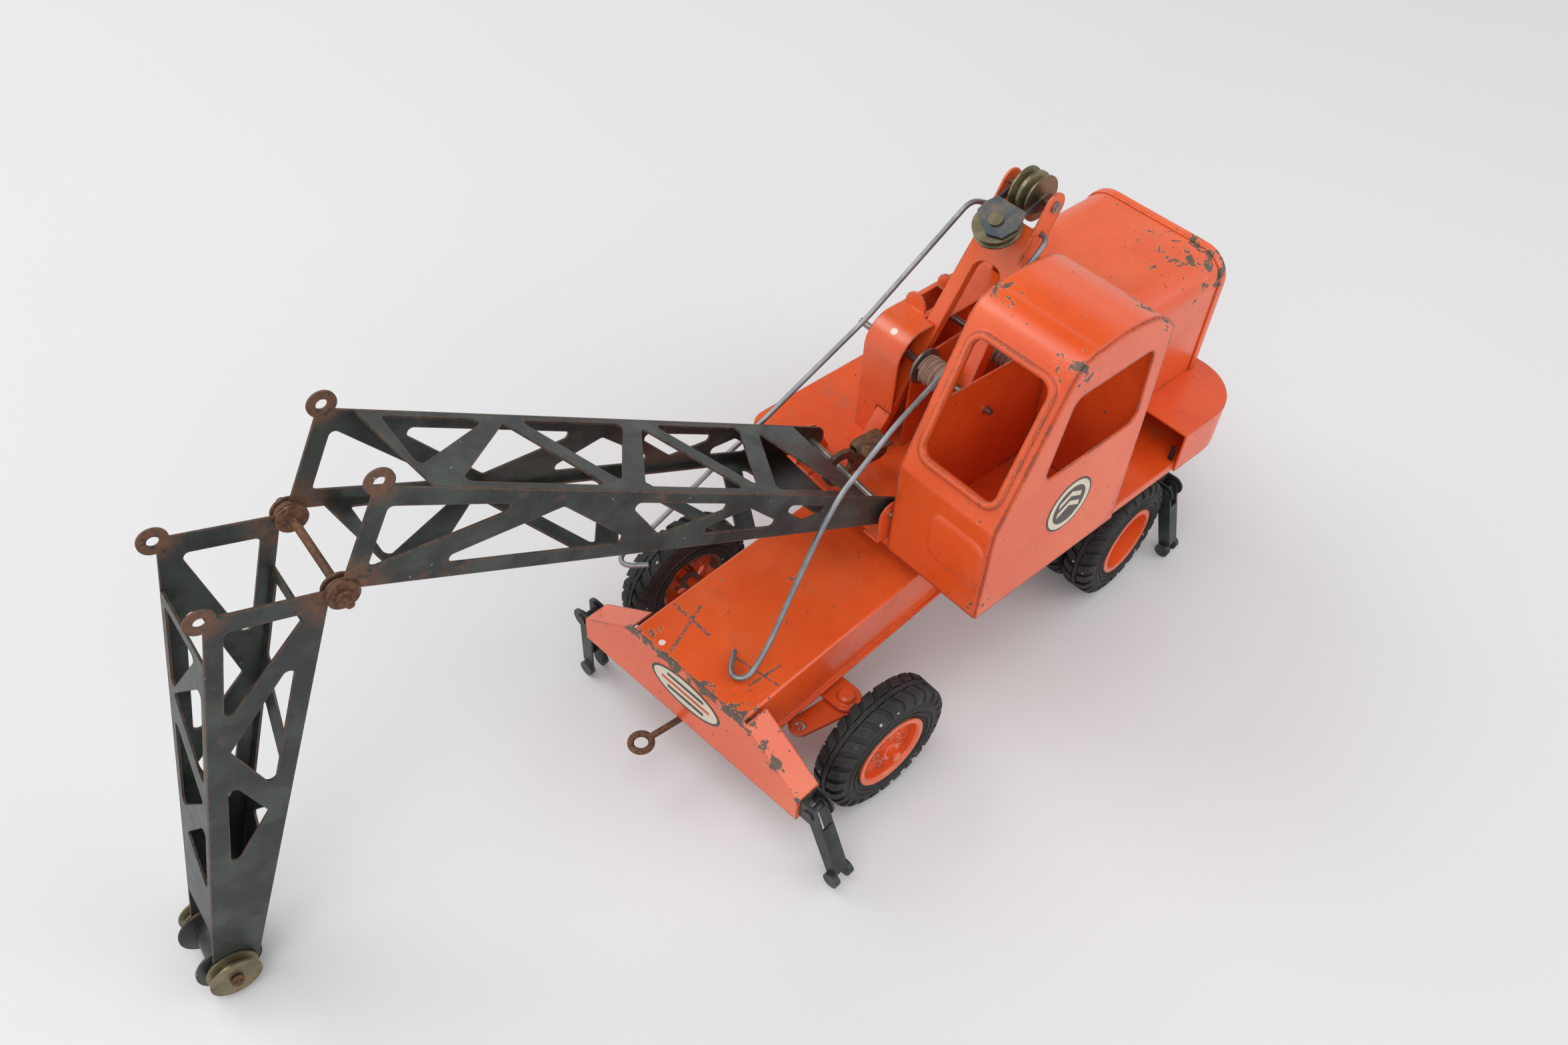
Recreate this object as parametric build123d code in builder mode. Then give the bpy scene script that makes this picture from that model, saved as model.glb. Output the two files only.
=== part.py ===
from build123d import *
from math import atan2, cos, degrees, hypot, radians, sin
import os

os.makedirs("parts", exist_ok=True)

# ---------------------------------------------------------------- driving dimensions (mm)
# Drawn with +X to the rear of the carrier, +Z up and zero on the ground under the front axle.
# The files are written about the bottom centre of the whole part's box, which lies here:
CENTRE_X = -7.6
CENTRE_Y = -4.1
SHEET = 1.0              # body sheet steel
BOOM_SHEET = 0.9         # lattice boom sheet
GAP = 0.4                # clearance between pieces that move past each other
RUNNING = 0.05           # radial clearance of a running fit

TYRE_R = 33.0
TYRE_W = 16.0
FRONT_TRACK = 64.0       # wheel centre plane from the middle, front
REAR_X = 177.5           # rear axle from the front axle
REAR_OUTER_Y = 65.6      # centre plane of the outer rear wheels
REAR_INNER_Y = 47.6      # centre plane of the inner rear wheels
STEER = -5.0             # the front wheels and drawbar stand turned by this much (degrees)

DECK_TOP = 71.4
DECK_HALF = 33.0
DECK_LIP_Z = 45.5
DECK_LIP = 2.9
FRONT_X = -57.0          # front face of the front bumper
REAR_END_X = 222.0       # rear face of the rear bumper
BUMPER_HALF = 66.0
BUMPER_DEPTH = 12.6      # front
REAR_BUMPER_DEPTH = 10.6
BUMPER_BOTTOM = 34.4
BUMPER_END_TOP = 48.1

SLEW_X = 133.3           # turntable centre
SLEW = -4.2              # the house stands turned by this much (degrees)
PLATFORM_TOP = 85.4
PLATFORM_FRONT = -81.1
PLATFORM_REAR = 110.0
PLATFORM_HALF = 76.0
PLATFORM_FLANGE = 4.7

BOOM_YAW = -9.1          # heading of the boom, which leans over in its worn foot
BOOM_FOOT = (-78.1, 8.7, 100.3)
BASE_LENGTH = 247.5      # foot pin to the eye line
BASE_RISE = 27.4         # slope of the base section (degrees)
OUTER_LENGTH = 198.0
OUTER_DROP = -72.6       # slope of the outer section (degrees)
KNEE_DEPTH = 42.6        # knee pin to the top eye
FOOT_HALF = 27.2
KNEE_HALF = 21.0
TIP_HALF = 11.4
PIN_R = 1.5


def polar(radius, angle):
    """Point at a radius and an angle in degrees."""
    return (radius * cos(radians(angle)), radius * sin(radians(angle)))


# ---------------------------------------------------------------- frames
HOUSE = Plane(origin=(SLEW_X, 0, 0), x_dir=(*polar(1, SLEW), 0), z_dir=(0, 0, 1))


def cross(x):
    """Carrier plane across the carrier at x: sketch axes are Y and Z, normal to the rear."""
    return Plane.YZ.offset(x)


def along(y):
    """Carrier plane along the carrier at y: sketch axes are X and Z, normal to the near side (-Y)."""
    return Plane.XZ.offset(-y)


def house_level(z):
    """House plane at height z: sketch axes run rearward and to the far side."""
    return HOUSE.offset(z)


def house_side(v):
    """House plane along the house at v: sketch axes run rearward and up, normal to the near side."""
    return Plane(origin=HOUSE.from_local_coords((0, v, 0)), x_dir=HOUSE.x_dir, z_dir=-HOUSE.y_dir)


def house_cross(u):
    """House plane across the house at u: sketch axes run to the far side and up, normal rearward."""
    return Plane(origin=HOUSE.from_local_coords((u, 0, 0)), x_dir=HOUSE.y_dir, z_dir=HOUSE.x_dir)


def shifted(plane, x=0, y=0, z=0):
    """The plane moved by a distance along its own axes."""
    return Plane(origin=plane.from_local_coords((x, y, z)), x_dir=plane.x_dir, z_dir=plane.z_dir)


def slope(plane, angle):
    """The plane turned about its own normal."""
    x_dir = plane.x_dir * cos(radians(angle)) + plane.y_dir * sin(radians(angle))
    return Plane(origin=plane.origin, x_dir=x_dir, z_dir=plane.z_dir)


# Boom frames: x along the section, y across its depth, z to the far side.
boom_foot_point = HOUSE.from_local_coords(BOOM_FOOT)
forward = -Vector(*polar(1, BOOM_YAW), 0)
far_side = Vector(0, 0, 1).cross(-forward)
BOOM = Plane(origin=boom_foot_point, x_dir=forward, z_dir=far_side)
BASE = slope(BOOM, BASE_RISE)
KNEE = shifted(BASE, BASE_LENGTH, -KNEE_DEPTH / 2)
OUTER = slope(Plane(origin=KNEE.origin, x_dir=forward, z_dir=far_side), OUTER_DROP)
TIP_Y = KNEE_DEPTH / 2   # the tip axle sits at mid depth
TIP = shifted(OUTER, OUTER_LENGTH, TIP_Y)
TIP_Z = TIP.origin.Z


# ---------------------------------------------------------------- shared shapes
def finish(builder, name):
    """Write the finished piece, moved to the shared frame, under its name."""
    piece = builder.part.moved(Location((-CENTRE_X, -CENTRE_Y, 0)))
    piece.label = name
    export_step(piece, f"parts/{name}.step")


def rounded(points, radius):
    """Closed polygon with every corner rounded, wound counter-clockwise."""
    area = sum(a[0] * b[1] - b[0] * a[1] for a, b in zip(points, points[1:] + points[:1]))
    corners = points if area > 0 else points[::-1]
    face = Polygon(*corners, align=None, mode=Mode.PRIVATE).face()
    return face.fillet_2d(radius, face.vertices())


def axle_plane(origin, outward):
    """Section plane of a wheel: x runs up from the axle, y runs outward along it."""
    up = Vector(0, 0, 1)
    return Plane(origin=origin, x_dir=up, z_dir=up.cross(Vector(outward)))


def disc_plane(origin, outward):
    """Plane square to an axle, facing outward."""
    return Plane(origin=origin, x_dir=(0, 0, 1), z_dir=outward)


def bumper_outline(inset=0.0):
    """Half-hexagon bumper face in Y and Z, shrunk by an inset."""
    half = BUMPER_HALF - inset
    low = BUMPER_BOTTOM + inset
    end = BUMPER_END_TOP - 0.6 * inset
    top = DECK_TOP - inset
    return [(-half, low), (half, low), (half, end), (DECK_HALF, top), (-DECK_HALF, top), (-half, end)]


# ---------------------------------------------------------------- carrier
with BuildPart() as deck:
    with BuildSketch(cross(FRONT_X + SHEET)):
        with BuildLine():
            side = DECK_HALF - SHEET / 2
            lip_z = DECK_LIP_Z + SHEET / 2
            Polyline(
                (-side - DECK_LIP, lip_z),
                (-side, lip_z),
                (-side, DECK_TOP - SHEET / 2),
                (side, DECK_TOP - SHEET / 2),
                (side, lip_z),
                (side + DECK_LIP, lip_z),
            )
        trace(line_width=SHEET)
    extrude(amount=REAR_END_X - FRONT_X - 2 * SHEET)
    fillet(deck.edges().filter_by(Axis.X).group_by(Axis.Z)[-1], 1.4)
finish(deck, "chassis_deck")

WING_GAP = 1.6           # slot between the deck side and the folded wing
BUMPERS = (("front_bumper", FRONT_X, BUMPER_DEPTH), ("rear_bumper", REAR_END_X, -REAR_BUMPER_DEPTH))
for name, face_x, depth in BUMPERS:
    wall = SHEET if depth > 0 else -SHEET
    with BuildPart() as bumper:
        with BuildSketch(cross(face_x)):
            Polygon(*bumper_outline(), align=None)
        extrude(amount=depth)
        with BuildSketch(cross(face_x + wall)):
            Polygon(*bumper_outline(SHEET), align=None)
        extrude(amount=depth, mode=Mode.SUBTRACT)
        with BuildSketch(cross(face_x + wall)):
            with Locations((0, DECK_TOP)):
                Rectangle(2 * (DECK_HALF + WING_GAP), 2 * (DECK_TOP - BUMPER_BOTTOM - SHEET))
        extrude(amount=depth, mode=Mode.SUBTRACT)
    finish(bumper, name)

KING_Y = 42.0            # king pins from the middle
KING_R = 2.0
BEAM_Z = 39.6            # underside of the axle beam
BEAM_T = 1.6
HANGER_HALF = 24.0
DECK_UNDER = DECK_TOP - SHEET
DRAW_PIN_R = 2.0
DRAW_Z = 27.5            # drawbar wire centre
with BuildPart() as axle_beam:
    with BuildSketch(Plane.XY.offset(BEAM_Z)):
        SlotCenterToCenter(2 * KING_Y, 14, rotation=90)
    extrude(amount=BEAM_T)
    for side in (-1, 1):
        with BuildSketch(along(side * HANGER_HALF)):
            with Locations((0, (BEAM_Z + DECK_UNDER) / 2)):
                Rectangle(20, DECK_UNDER - BEAM_Z)
        extrude(amount=SHEET, both=True)
        with BuildSketch(Plane.XY.offset(BEAM_Z - 8)):
            with Locations((0, side * KING_Y)):
                Circle(KING_R)
        extrude(amount=8 + BEAM_T)
        with BuildSketch(Plane.XY.offset(BEAM_Z + BEAM_T)):
            with Locations((0, side * KING_Y)):
                Circle(4.2)
        extrude(amount=2.4)
    fillet(axle_beam.edges().filter_by(GeomType.CIRCLE).filter_by_position(Axis.Z, 43.5, 43.7), 1.9)
    with BuildSketch(Plane.XY.offset(DRAW_Z - 3)):
        Circle(DRAW_PIN_R)
    extrude(amount=BEAM_Z - DRAW_Z + 3)
    with BuildSketch(Plane.XY.offset(DRAW_Z - 4.2)):
        Circle(3.6)
    extrude(amount=1.2)
finish(axle_beam, "front_axle_beam")

AXLE_R = 2.5
HANGER_Y = 30.0
with BuildPart() as rear_hanger:
    for side in (-1, 1):
        with BuildSketch(along(side * HANGER_Y)):
            with BuildLine():
                Polyline((REAR_X - 8, TYRE_R), (REAR_X - 20, DECK_UNDER), (REAR_X + 20, DECK_UNDER),
                         (REAR_X + 8, TYRE_R))
                ThreePointArc((REAR_X + 8, TYRE_R), (REAR_X, TYRE_R - 8), (REAR_X - 8, TYRE_R))
            make_face()
            with Locations((REAR_X, TYRE_R)):
                Circle(AXLE_R, mode=Mode.SUBTRACT)
        extrude(amount=SHEET / 2, both=True)
    with BuildSketch(Plane.XY.offset(DECK_UNDER - SHEET)):
        with Locations((REAR_X, 0)):
            Rectangle(40, 2 * HANGER_Y + SHEET)
    extrude(amount=SHEET)
finish(rear_hanger, "rear_axle_hanger")

REAR_AXLE_HALF = 63.0
with BuildPart() as rear_axle:
    with BuildSketch(along(-REAR_AXLE_HALF)):
        with Locations((REAR_X, TYRE_R)):
            Circle(AXLE_R)
    extrude(amount=-2 * REAR_AXLE_HALF)
finish(rear_axle, "rear_axle")

RING_TOP = 77.6          # top of the carrier's turntable ring
STUD_R = 5.0             # turntable stud, a running fit in the platform
with BuildPart() as ring:
    with BuildSketch(Plane.XY.offset(DECK_TOP)):
        with Locations((SLEW_X, 0)):
            Circle(30)
    extrude(amount=RING_TOP - DECK_TOP)
    with BuildSketch(Plane.XY.offset(RING_TOP)):
        with Locations((SLEW_X, 0)):
            Circle(STUD_R)
    extrude(amount=PLATFORM_TOP + GAP - RING_TOP)
    with BuildSketch(Plane.XY.offset(PLATFORM_TOP + GAP)):
        with Locations((SLEW_X, 0)):
            Circle(9)
    extrude(amount=1.6)
    fillet(ring.edges().filter_by(GeomType.CIRCLE).group_by(Axis.Z)[-1], 1.2)
finish(ring, "turntable_ring")

# Outriggers: a folded bracket at each bumper end, and a channel leg that swings on its rivet.
LEG_REACH = 41.0
TOE_R = 3.8
OUTRIGGER_Z = 41.8
OUTRIGGER_Y = 71.0
RIVET_R = 1.6
FRONT_LEG_X = FRONT_X + 6.6
REAR_LEG_X = REAR_END_X - 5.8
# name, x, side, splay away from upright (degrees), half width of its bracket
LEGS = (
    ("outrigger_leg_front_near", FRONT_LEG_X, -1, 25.0, 5.0),
    ("outrigger_leg_front_far", FRONT_LEG_X, 1, 0.0, 5.0),
    ("outrigger_leg_rear_near", REAR_LEG_X, -1, 16.0, 4.9),
    ("outrigger_leg_rear_far", REAR_LEG_X, 1, 0.0, 4.9),
)
with BuildPart() as brackets:
    for _, leg_x, side, _, bracket_half in LEGS:
        for edge in (-1, 1):
            with BuildSketch(cross(leg_x + edge * (bracket_half - SHEET / 2))):
                with BuildLine():
                    Polyline((side * BUMPER_HALF, OUTRIGGER_Z + 5.5), (side * OUTRIGGER_Y, OUTRIGGER_Z + 5.5))
                    ThreePointArc((side * OUTRIGGER_Y, OUTRIGGER_Z + 5.5),
                                  (side * (OUTRIGGER_Y + 5.5), OUTRIGGER_Z),
                                  (side * OUTRIGGER_Y, OUTRIGGER_Z - 5.5))
                    Polyline((side * OUTRIGGER_Y, OUTRIGGER_Z - 5.5), (side * BUMPER_HALF, OUTRIGGER_Z - 5.5),
                             (side * BUMPER_HALF, OUTRIGGER_Z + 5.5))
                make_face()
            extrude(amount=SHEET / 2, both=True)
        with BuildSketch(cross(leg_x - bracket_half)):
            with Locations((side * (BUMPER_HALF + SHEET / 2), OUTRIGGER_Z)):
                Rectangle(SHEET, 11)
        extrude(amount=2 * bracket_half)
        with BuildSketch(cross(leg_x - bracket_half - 0.7)):
            with Locations((side * OUTRIGGER_Y, OUTRIGGER_Z)):
                Circle(RIVET_R)
        extrude(amount=2 * bracket_half + 1.4)
        for edge in (-1, 1):
            with BuildSketch(cross(leg_x + edge * bracket_half)):
                with Locations((side * OUTRIGGER_Y, OUTRIGGER_Z)):
                    Circle(2.7)
            extrude(amount=edge * 0.8)
finish(brackets, "outrigger_brackets")

for name, leg_x, side, splay, bracket_half in LEGS:
    leg_half = bracket_half - SHEET - GAP
    pivot = Plane(origin=(leg_x, side * OUTRIGGER_Y, OUTRIGGER_Z), x_dir=(0, 1, 0), z_dir=(1, 0, 0))
    leg_frame = slope(pivot, side * splay)
    with BuildPart() as leg:
        for edge in (-1, 1):
            cheek = shifted(leg_frame, z=edge * (leg_half - SHEET / 2))
            with BuildSketch(cheek):
                with BuildLine():
                    Polyline((-3.6, 0), (-2.8, -LEG_REACH + TOE_R), (2.8, -LEG_REACH + TOE_R), (3.6, 0))
                    ThreePointArc((3.6, 0), (0, 3.6), (-3.6, 0))
                make_face()
                Circle(RIVET_R + RUNNING, mode=Mode.SUBTRACT)
            extrude(amount=SHEET / 2, both=True)
            # the cheeks splay outward into rounded toes
            with BuildSketch(shifted(leg_frame, y=-LEG_REACH + TOE_R, z=edge * (leg_half + 0.6))):
                Circle(TOE_R)
            extrude(amount=1.4, both=True)
        with BuildSketch(shifted(leg_frame, x=side * 3.0, y=-LEG_REACH / 2 - 1, z=-leg_half)):
            Rectangle(SHEET, LEG_REACH - 16)
        extrude(amount=2 * leg_half)
    finish(leg, name)

# ---------------------------------------------------------------- steering
KNUCKLE_Z = 36.8
ARM_X = -24.5
ARM_Y = 3.0
STUB_END = 33.5          # stub axle end from the king pin
WHEEL_OUT = FRONT_TRACK - KING_Y
TIE_Z = 34.2
PIN_HOLE = 2.8
steer_x = Vector(*polar(1, STEER), 0)
steer_y = Vector(0, 0, 1).cross(steer_x)
arm_ends = []
front_wheels = []
for name, side in (("knuckle_near", -1), ("knuckle_far", 1)):
    knuckle_frame = Plane(origin=(0, side * KING_Y, 0), x_dir=steer_x, z_dir=(0, 0, 1))
    arm_end = (ARM_X, -side * ARM_Y)
    arm_ends.append(knuckle_frame.from_local_coords((*arm_end, 0)))
    front_wheels.append((side, knuckle_frame.from_local_coords((0, side * WHEEL_OUT, TYRE_R)), steer_y * side))
    with BuildPart() as knuckle:
        with BuildSketch(shifted(knuckle_frame, z=KNUCKLE_Z)):
            Circle(6.5)
            with Locations(arm_end):
                Circle(5)
            make_hull()
            with Locations((0, side * 4)):
                Rectangle(10, 8)
            Circle(KING_R + RUNNING, mode=Mode.SUBTRACT)
            with Locations(arm_end):
                Circle(PIN_HOLE, mode=Mode.SUBTRACT)
        extrude(amount=1.6)
        with BuildSketch(shifted(knuckle_frame, y=side * 7.2, z=TYRE_R + 0.4)):
            Rectangle(12, 1.6)
        extrude(amount=5, both=True)
        axis_frame = Plane(origin=knuckle_frame.from_local_coords((0, side * 6.6, TYRE_R)), x_dir=(0, 0, 1),
                           z_dir=steer_y * side)
        with BuildSketch(axis_frame):
            Circle(AXLE_R)
        extrude(amount=STUB_END - 6.6)
    finish(knuckle, name)

with BuildPart() as tie_rod:
    near_end, far_end = arm_ends
    rod_dir = far_end - near_end
    rod_mid = (near_end + far_end) / 2
    with BuildSketch(Plane(origin=near_end + Vector(0, 0, TIE_Z), z_dir=rod_dir)):
        Circle(1.1)
    extrude(amount=rod_dir.length)
    for end in arm_ends:
        with BuildSketch(Plane(origin=end + Vector(0, 0, TIE_Z - 1.1))):
            Circle(1.1)
        extrude(amount=5.4)
    with BuildSketch(Plane(origin=rod_mid + Vector(0, 0, TIE_Z - 0.6))):
        Circle(5)
        Circle(PIN_HOLE, mode=Mode.SUBTRACT)
    extrude(amount=1.2)
    with BuildSketch(Plane(origin=rod_mid + Vector(0, 0, TIE_Z - 1.2))):
        Circle(PIN_HOLE)
    extrude(amount=2.4, mode=Mode.SUBTRACT)
finish(tie_rod, "tie_rod")

EYE_REACH = 75.2         # drawbar pivot to the eye centre
DRAWBAR_YAW = 7.7
EYE_R = 4.6              # wire centre radius of the eye
WIRE_R = 1.5
draw_x = -Vector(*polar(1, -DRAWBAR_YAW), 0)
DRAWBAR = Plane(origin=(0, 0, DRAW_Z), x_dir=draw_x, z_dir=(0, 0, 1))
with BuildPart() as drawbar:
    with BuildSketch(Plane(origin=DRAWBAR.from_local_coords((3.4, 0, 0)), z_dir=draw_x)):
        Circle(WIRE_R)
    extrude(amount=EYE_REACH - 3.4 - EYE_R)
    with BuildSketch(shifted(DRAWBAR, z=-WIRE_R)):
        Circle(5)
        Circle(DRAW_PIN_R + RUNNING, mode=Mode.SUBTRACT)
    extrude(amount=2 * WIRE_R)
    with BuildSketch(Plane(origin=DRAWBAR.from_local_coords((EYE_REACH, 0, 0)), x_dir=draw_x,
                           z_dir=DRAWBAR.y_dir)):
        with Locations((EYE_R, 0)):
            Circle(WIRE_R)
    revolve(axis=Axis(DRAWBAR.from_local_coords((EYE_REACH, 0, 0)), (0, 0, 1)))
    with BuildSketch(Plane(origin=(rod_mid.X, rod_mid.Y, DRAW_Z))):
        Circle(1.1)
    extrude(amount=TIE_Z + 1.6 - DRAW_Z)
    with BuildSketch(Plane(origin=(rod_mid.X, rod_mid.Y, DRAW_Z - WIRE_R))):
        Circle(3)
    extrude(amount=2 * WIRE_R)
finish(drawbar, "drawbar")

# ---------------------------------------------------------------- wheels
TYRE_BORE = 17.4
RIM_LIP = 18.8


def make_tyre(name, origin, outward):
    """Rubber tyre centred on a wheel: the section's x is the radius and its y runs across the tread."""
    half = TYRE_W / 2
    with BuildPart() as tyre:
        with BuildSketch(axle_plane(origin, outward)):
            with BuildLine():
                Polyline((TYRE_BORE, half - 1), (TYRE_BORE, -half + 1), (RIM_LIP + 0.6, -half + 1),
                         (RIM_LIP + 2.4, -half))
                ThreePointArc((RIM_LIP + 2.4, -half), (28, -half - 0.3), (31.8, -half + 1.8))
                Polyline((31.8, -half + 1.8), (TYRE_R, -half + 3.6), (TYRE_R, half - 3.6), (31.8, half - 1.8))
                ThreePointArc((31.8, half - 1.8), (28, half + 0.3), (RIM_LIP + 2.4, half))
                Polyline((RIM_LIP + 2.4, half), (RIM_LIP + 0.6, half - 1), (TYRE_BORE, half - 1))
            make_face()
        revolve(axis=Axis(origin, outward))
    finish(tyre, name)


for side, centre, outward in front_wheels:
    tag = "near" if side < 0 else "far"
    make_tyre(f"front_tyre_{tag}", centre, outward)
    with BuildPart() as rim:
        with BuildSketch(axle_plane(centre, outward)):
            with BuildLine():
                Polyline((AXLE_R + RUNNING, -5), (5, -5), (5, 1.2), (16, 1.2), (16, -6.9), (TYRE_BORE, -6.9),
                         (TYRE_BORE, 7.1), (RIM_LIP, 7.1), (RIM_LIP, 8.3), (16.4, 8.3), (15.6, 7.2),
                         (15.6, 3.2), (9.6, 3.2), (8.6, 5.2), (5, 5.2), (4.6, 7.8), (AXLE_R + RUNNING, 7.8),
                         (AXLE_R + RUNNING, -5))
            make_face()
        revolve(axis=Axis(centre, outward))
        face = shifted(disc_plane(centre, outward), z=0.5)
        with BuildSketch(face):
            with PolarLocations(12.7, 6):
                SlotCenterToCenter(3.2, 3.4, rotation=90)
        extrude(amount=4, mode=Mode.SUBTRACT)
        with BuildSketch(shifted(disc_plane(centre, outward), z=5.0)):
            with PolarLocations(6.9, 10):
                Circle(0.9)
        extrude(amount=1.4)
    finish(rim, f"front_rim_{tag}")

for side, tag in ((-1, "near"), (1, "far")):
    outward = Vector(0, side, 0)
    outer = Vector(REAR_X, side * REAR_OUTER_Y, TYRE_R)
    inner = Vector(REAR_X, side * REAR_INNER_Y, TYRE_R)
    make_tyre(f"rear_tyre_outer_{tag}", outer, outward)
    make_tyre(f"rear_tyre_inner_{tag}", inner, outward)
    step = REAR_INNER_Y - REAR_OUTER_Y
    with BuildPart() as rim:
        with BuildSketch(axle_plane(outer, outward)):
            with BuildLine():
                Polyline((AXLE_R + RUNNING, -5), (6, -5), (6, -7.2), (16, -7.2), (16, 8.3), (RIM_LIP, 8.3),
                         (RIM_LIP, 7.1), (TYRE_BORE, 7.1), (TYRE_BORE, -8.6), (7, -8.6), (7, step + 8.6),
                         (TYRE_BORE, step + 8.6), (TYRE_BORE, step - 6.9), (16.2, step - 6.9),
                         (16.2, step + 5.4), (6, step + 5.4), (6, step - 2), (AXLE_R + RUNNING, step - 2),
                         (AXLE_R + RUNNING, -5))
            make_face()
        revolve(axis=Axis(outer, outward))
    finish(rim, f"rear_rim_{tag}")

# ---------------------------------------------------------------- house
CAB_FRONT = -81.4
CAB_REAR = 12.0
CAB_NEAR = -76.0
CAB_FAR = -23.0
CAB_BOTTOM = 80.7
BELT_Z = 132.5           # fold between the lower front panel and the windshield
EDGE = 75.0 - 0.2        # platform half width inside the cab skin
PANEL_T = 1.0


def cab_outline():
    """Points of the cab's side view in house coordinates (rearward, up)."""
    screen_top = (-54.0, 196.5)
    roof_front = (-38.5, 206.4)
    roof_back = (-17.0, 206.9)
    rear_top = (10.3, 194.0)
    return screen_top, roof_front, roof_back, rear_top


with BuildPart() as platform:
    with BuildSketch(house_level(PLATFORM_TOP - PLATFORM_FLANGE)):
        with BuildLine():
            far_front = 12.0
            rear_round = 27.0
            Polyline((PLATFORM_REAR - rear_round, -EDGE), (CAB_FRONT + 1.2, -EDGE), (CAB_FRONT + 1.2, CAB_FAR),
                     (PLATFORM_FRONT, CAB_FAR), (PLATFORM_FRONT, PLATFORM_HALF - far_front))
            RadiusArc((PLATFORM_FRONT, PLATFORM_HALF - far_front), (PLATFORM_FRONT + far_front, PLATFORM_HALF),
                      far_front)
            Line((PLATFORM_FRONT + far_front, PLATFORM_HALF), (PLATFORM_REAR - rear_round, PLATFORM_HALF))
            RadiusArc((PLATFORM_REAR - rear_round, PLATFORM_HALF), (PLATFORM_REAR, PLATFORM_HALF - rear_round),
                      rear_round)
            Line((PLATFORM_REAR, PLATFORM_HALF - rear_round), (PLATFORM_REAR, -EDGE + rear_round))
            RadiusArc((PLATFORM_REAR, -EDGE + rear_round), (PLATFORM_REAR - rear_round, -EDGE), rear_round)
        make_face()
    extrude(amount=PLATFORM_FLANGE)
    offset(amount=-SHEET, openings=platform.faces().sort_by(Axis.Z)[0])
    with BuildSketch(house_level(RING_TOP + GAP)):
        Circle(28)
    extrude(amount=PLATFORM_TOP - SHEET - RING_TOP - GAP)
    with BuildSketch(house_level(RING_TOP)):
        Circle(STUD_R + RUNNING)
    extrude(amount=PLATFORM_TOP - RING_TOP + 1, mode=Mode.SUBTRACT)
finish(platform, "platform")

screen_top, roof_front, roof_back, rear_top = cab_outline()
with BuildPart() as cab:
    with BuildSketch(house_side(CAB_NEAR + PANEL_T)):
        with BuildLine():
            Polyline((CAB_FRONT, CAB_BOTTOM), (CAB_FRONT, BELT_Z), screen_top)
            ThreePointArc(screen_top, (-48.5, 203.8), roof_front)
            ThreePointArc(roof_front, (-27.5, 207.5), roof_back)
            ThreePointArc(roof_back, (-1.5, 203.2), rear_top)
            Polyline(rear_top, (CAB_REAR, PLATFORM_TOP + 0.1))
        trace(line_width=SHEET)
    extrude(amount=-(CAB_FAR - CAB_NEAR - PANEL_T))
    screen_x = Vector(screen_top[0] - CAB_FRONT, screen_top[1] - BELT_Z)
    screen_u = HOUSE.x_dir * (screen_x.X / screen_x.length) + Vector(0, 0, screen_x.Y / screen_x.length)
    screen = Plane(origin=HOUSE.from_local_coords((CAB_FRONT, (CAB_NEAR + CAB_FAR) / 2, BELT_Z)),
                   x_dir=HOUSE.y_dir, z_dir=Vector(HOUSE.y_dir).cross(screen_u))
    # windshield opening, and a raised rim pressed round it
    with BuildSketch(shifted(screen, y=38.5, z=-0.5)):
        RectangleRounded(44.5, 61, 7.5)
    extrude(amount=-1.4 - SHEET / 2, both=True)
    with BuildSketch(shifted(screen, y=38.5, z=-4)):
        RectangleRounded(39.5, 56, 5.5)
    extrude(amount=8, mode=Mode.SUBTRACT)
    with BuildSketch(shifted(screen, y=38.5, z=1.4)):
        RectangleRounded(60, 70, 5)
    extrude(amount=6, mode=Mode.SUBTRACT)
finish(cab, "cab_shell")

with BuildPart() as cab_side:
    with BuildSketch(house_side(CAB_NEAR + PANEL_T)):
        with BuildLine():
            Polyline((CAB_REAR, CAB_BOTTOM), (CAB_FRONT, CAB_BOTTOM), (CAB_FRONT, BELT_Z), screen_top)
            ThreePointArc(screen_top, (-48.5, 203.8), roof_front)
            ThreePointArc(roof_front, (-27.5, 207.5), roof_back)
            ThreePointArc(roof_back, (-1.5, 203.2), rear_top)
            Polyline(rear_top, (CAB_REAR, CAB_BOTTOM))
        make_face()
    extrude(amount=PANEL_T)
    with BuildSketch(house_side(CAB_NEAR + 2 * PANEL_T)):
        add(rounded([(-56.5, 146.5), (3.6, 146.5), (1.2, 187.5), (-48.5, 187.5)], 5.5))
    extrude(amount=4 * PANEL_T, mode=Mode.SUBTRACT)
finish(cab_side, "cab_side_panel")

HOOD_FRONT = 34.0
HOOD_REAR = 105.0
HOOD_NEAR = -47.0
HOOD_FAR = 33.0
HOOD_TOP = 168.3
HOOD_ROUND = 14.0
SKIRT_TOP = 103.7
SKIRT_FRONT = 60.0
LID = 5.0                # depth of the hood's rear cover


def hood_sketch(grow=0.0, bottom=SKIRT_TOP + 0.2):
    """Hood section: square at the bottom, rounded along both top edges."""
    width = HOOD_FAR - HOOD_NEAR + 2 * grow
    height = HOOD_TOP + grow - bottom
    middle = (HOOD_FAR + HOOD_NEAR) / 2
    face = (Pos(middle, bottom + height / 2) * Rectangle(width, height, mode=Mode.PRIVATE)).face()
    return face.fillet_2d(HOOD_ROUND + grow, face.vertices().group_by(Axis.Y)[-1])


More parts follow.
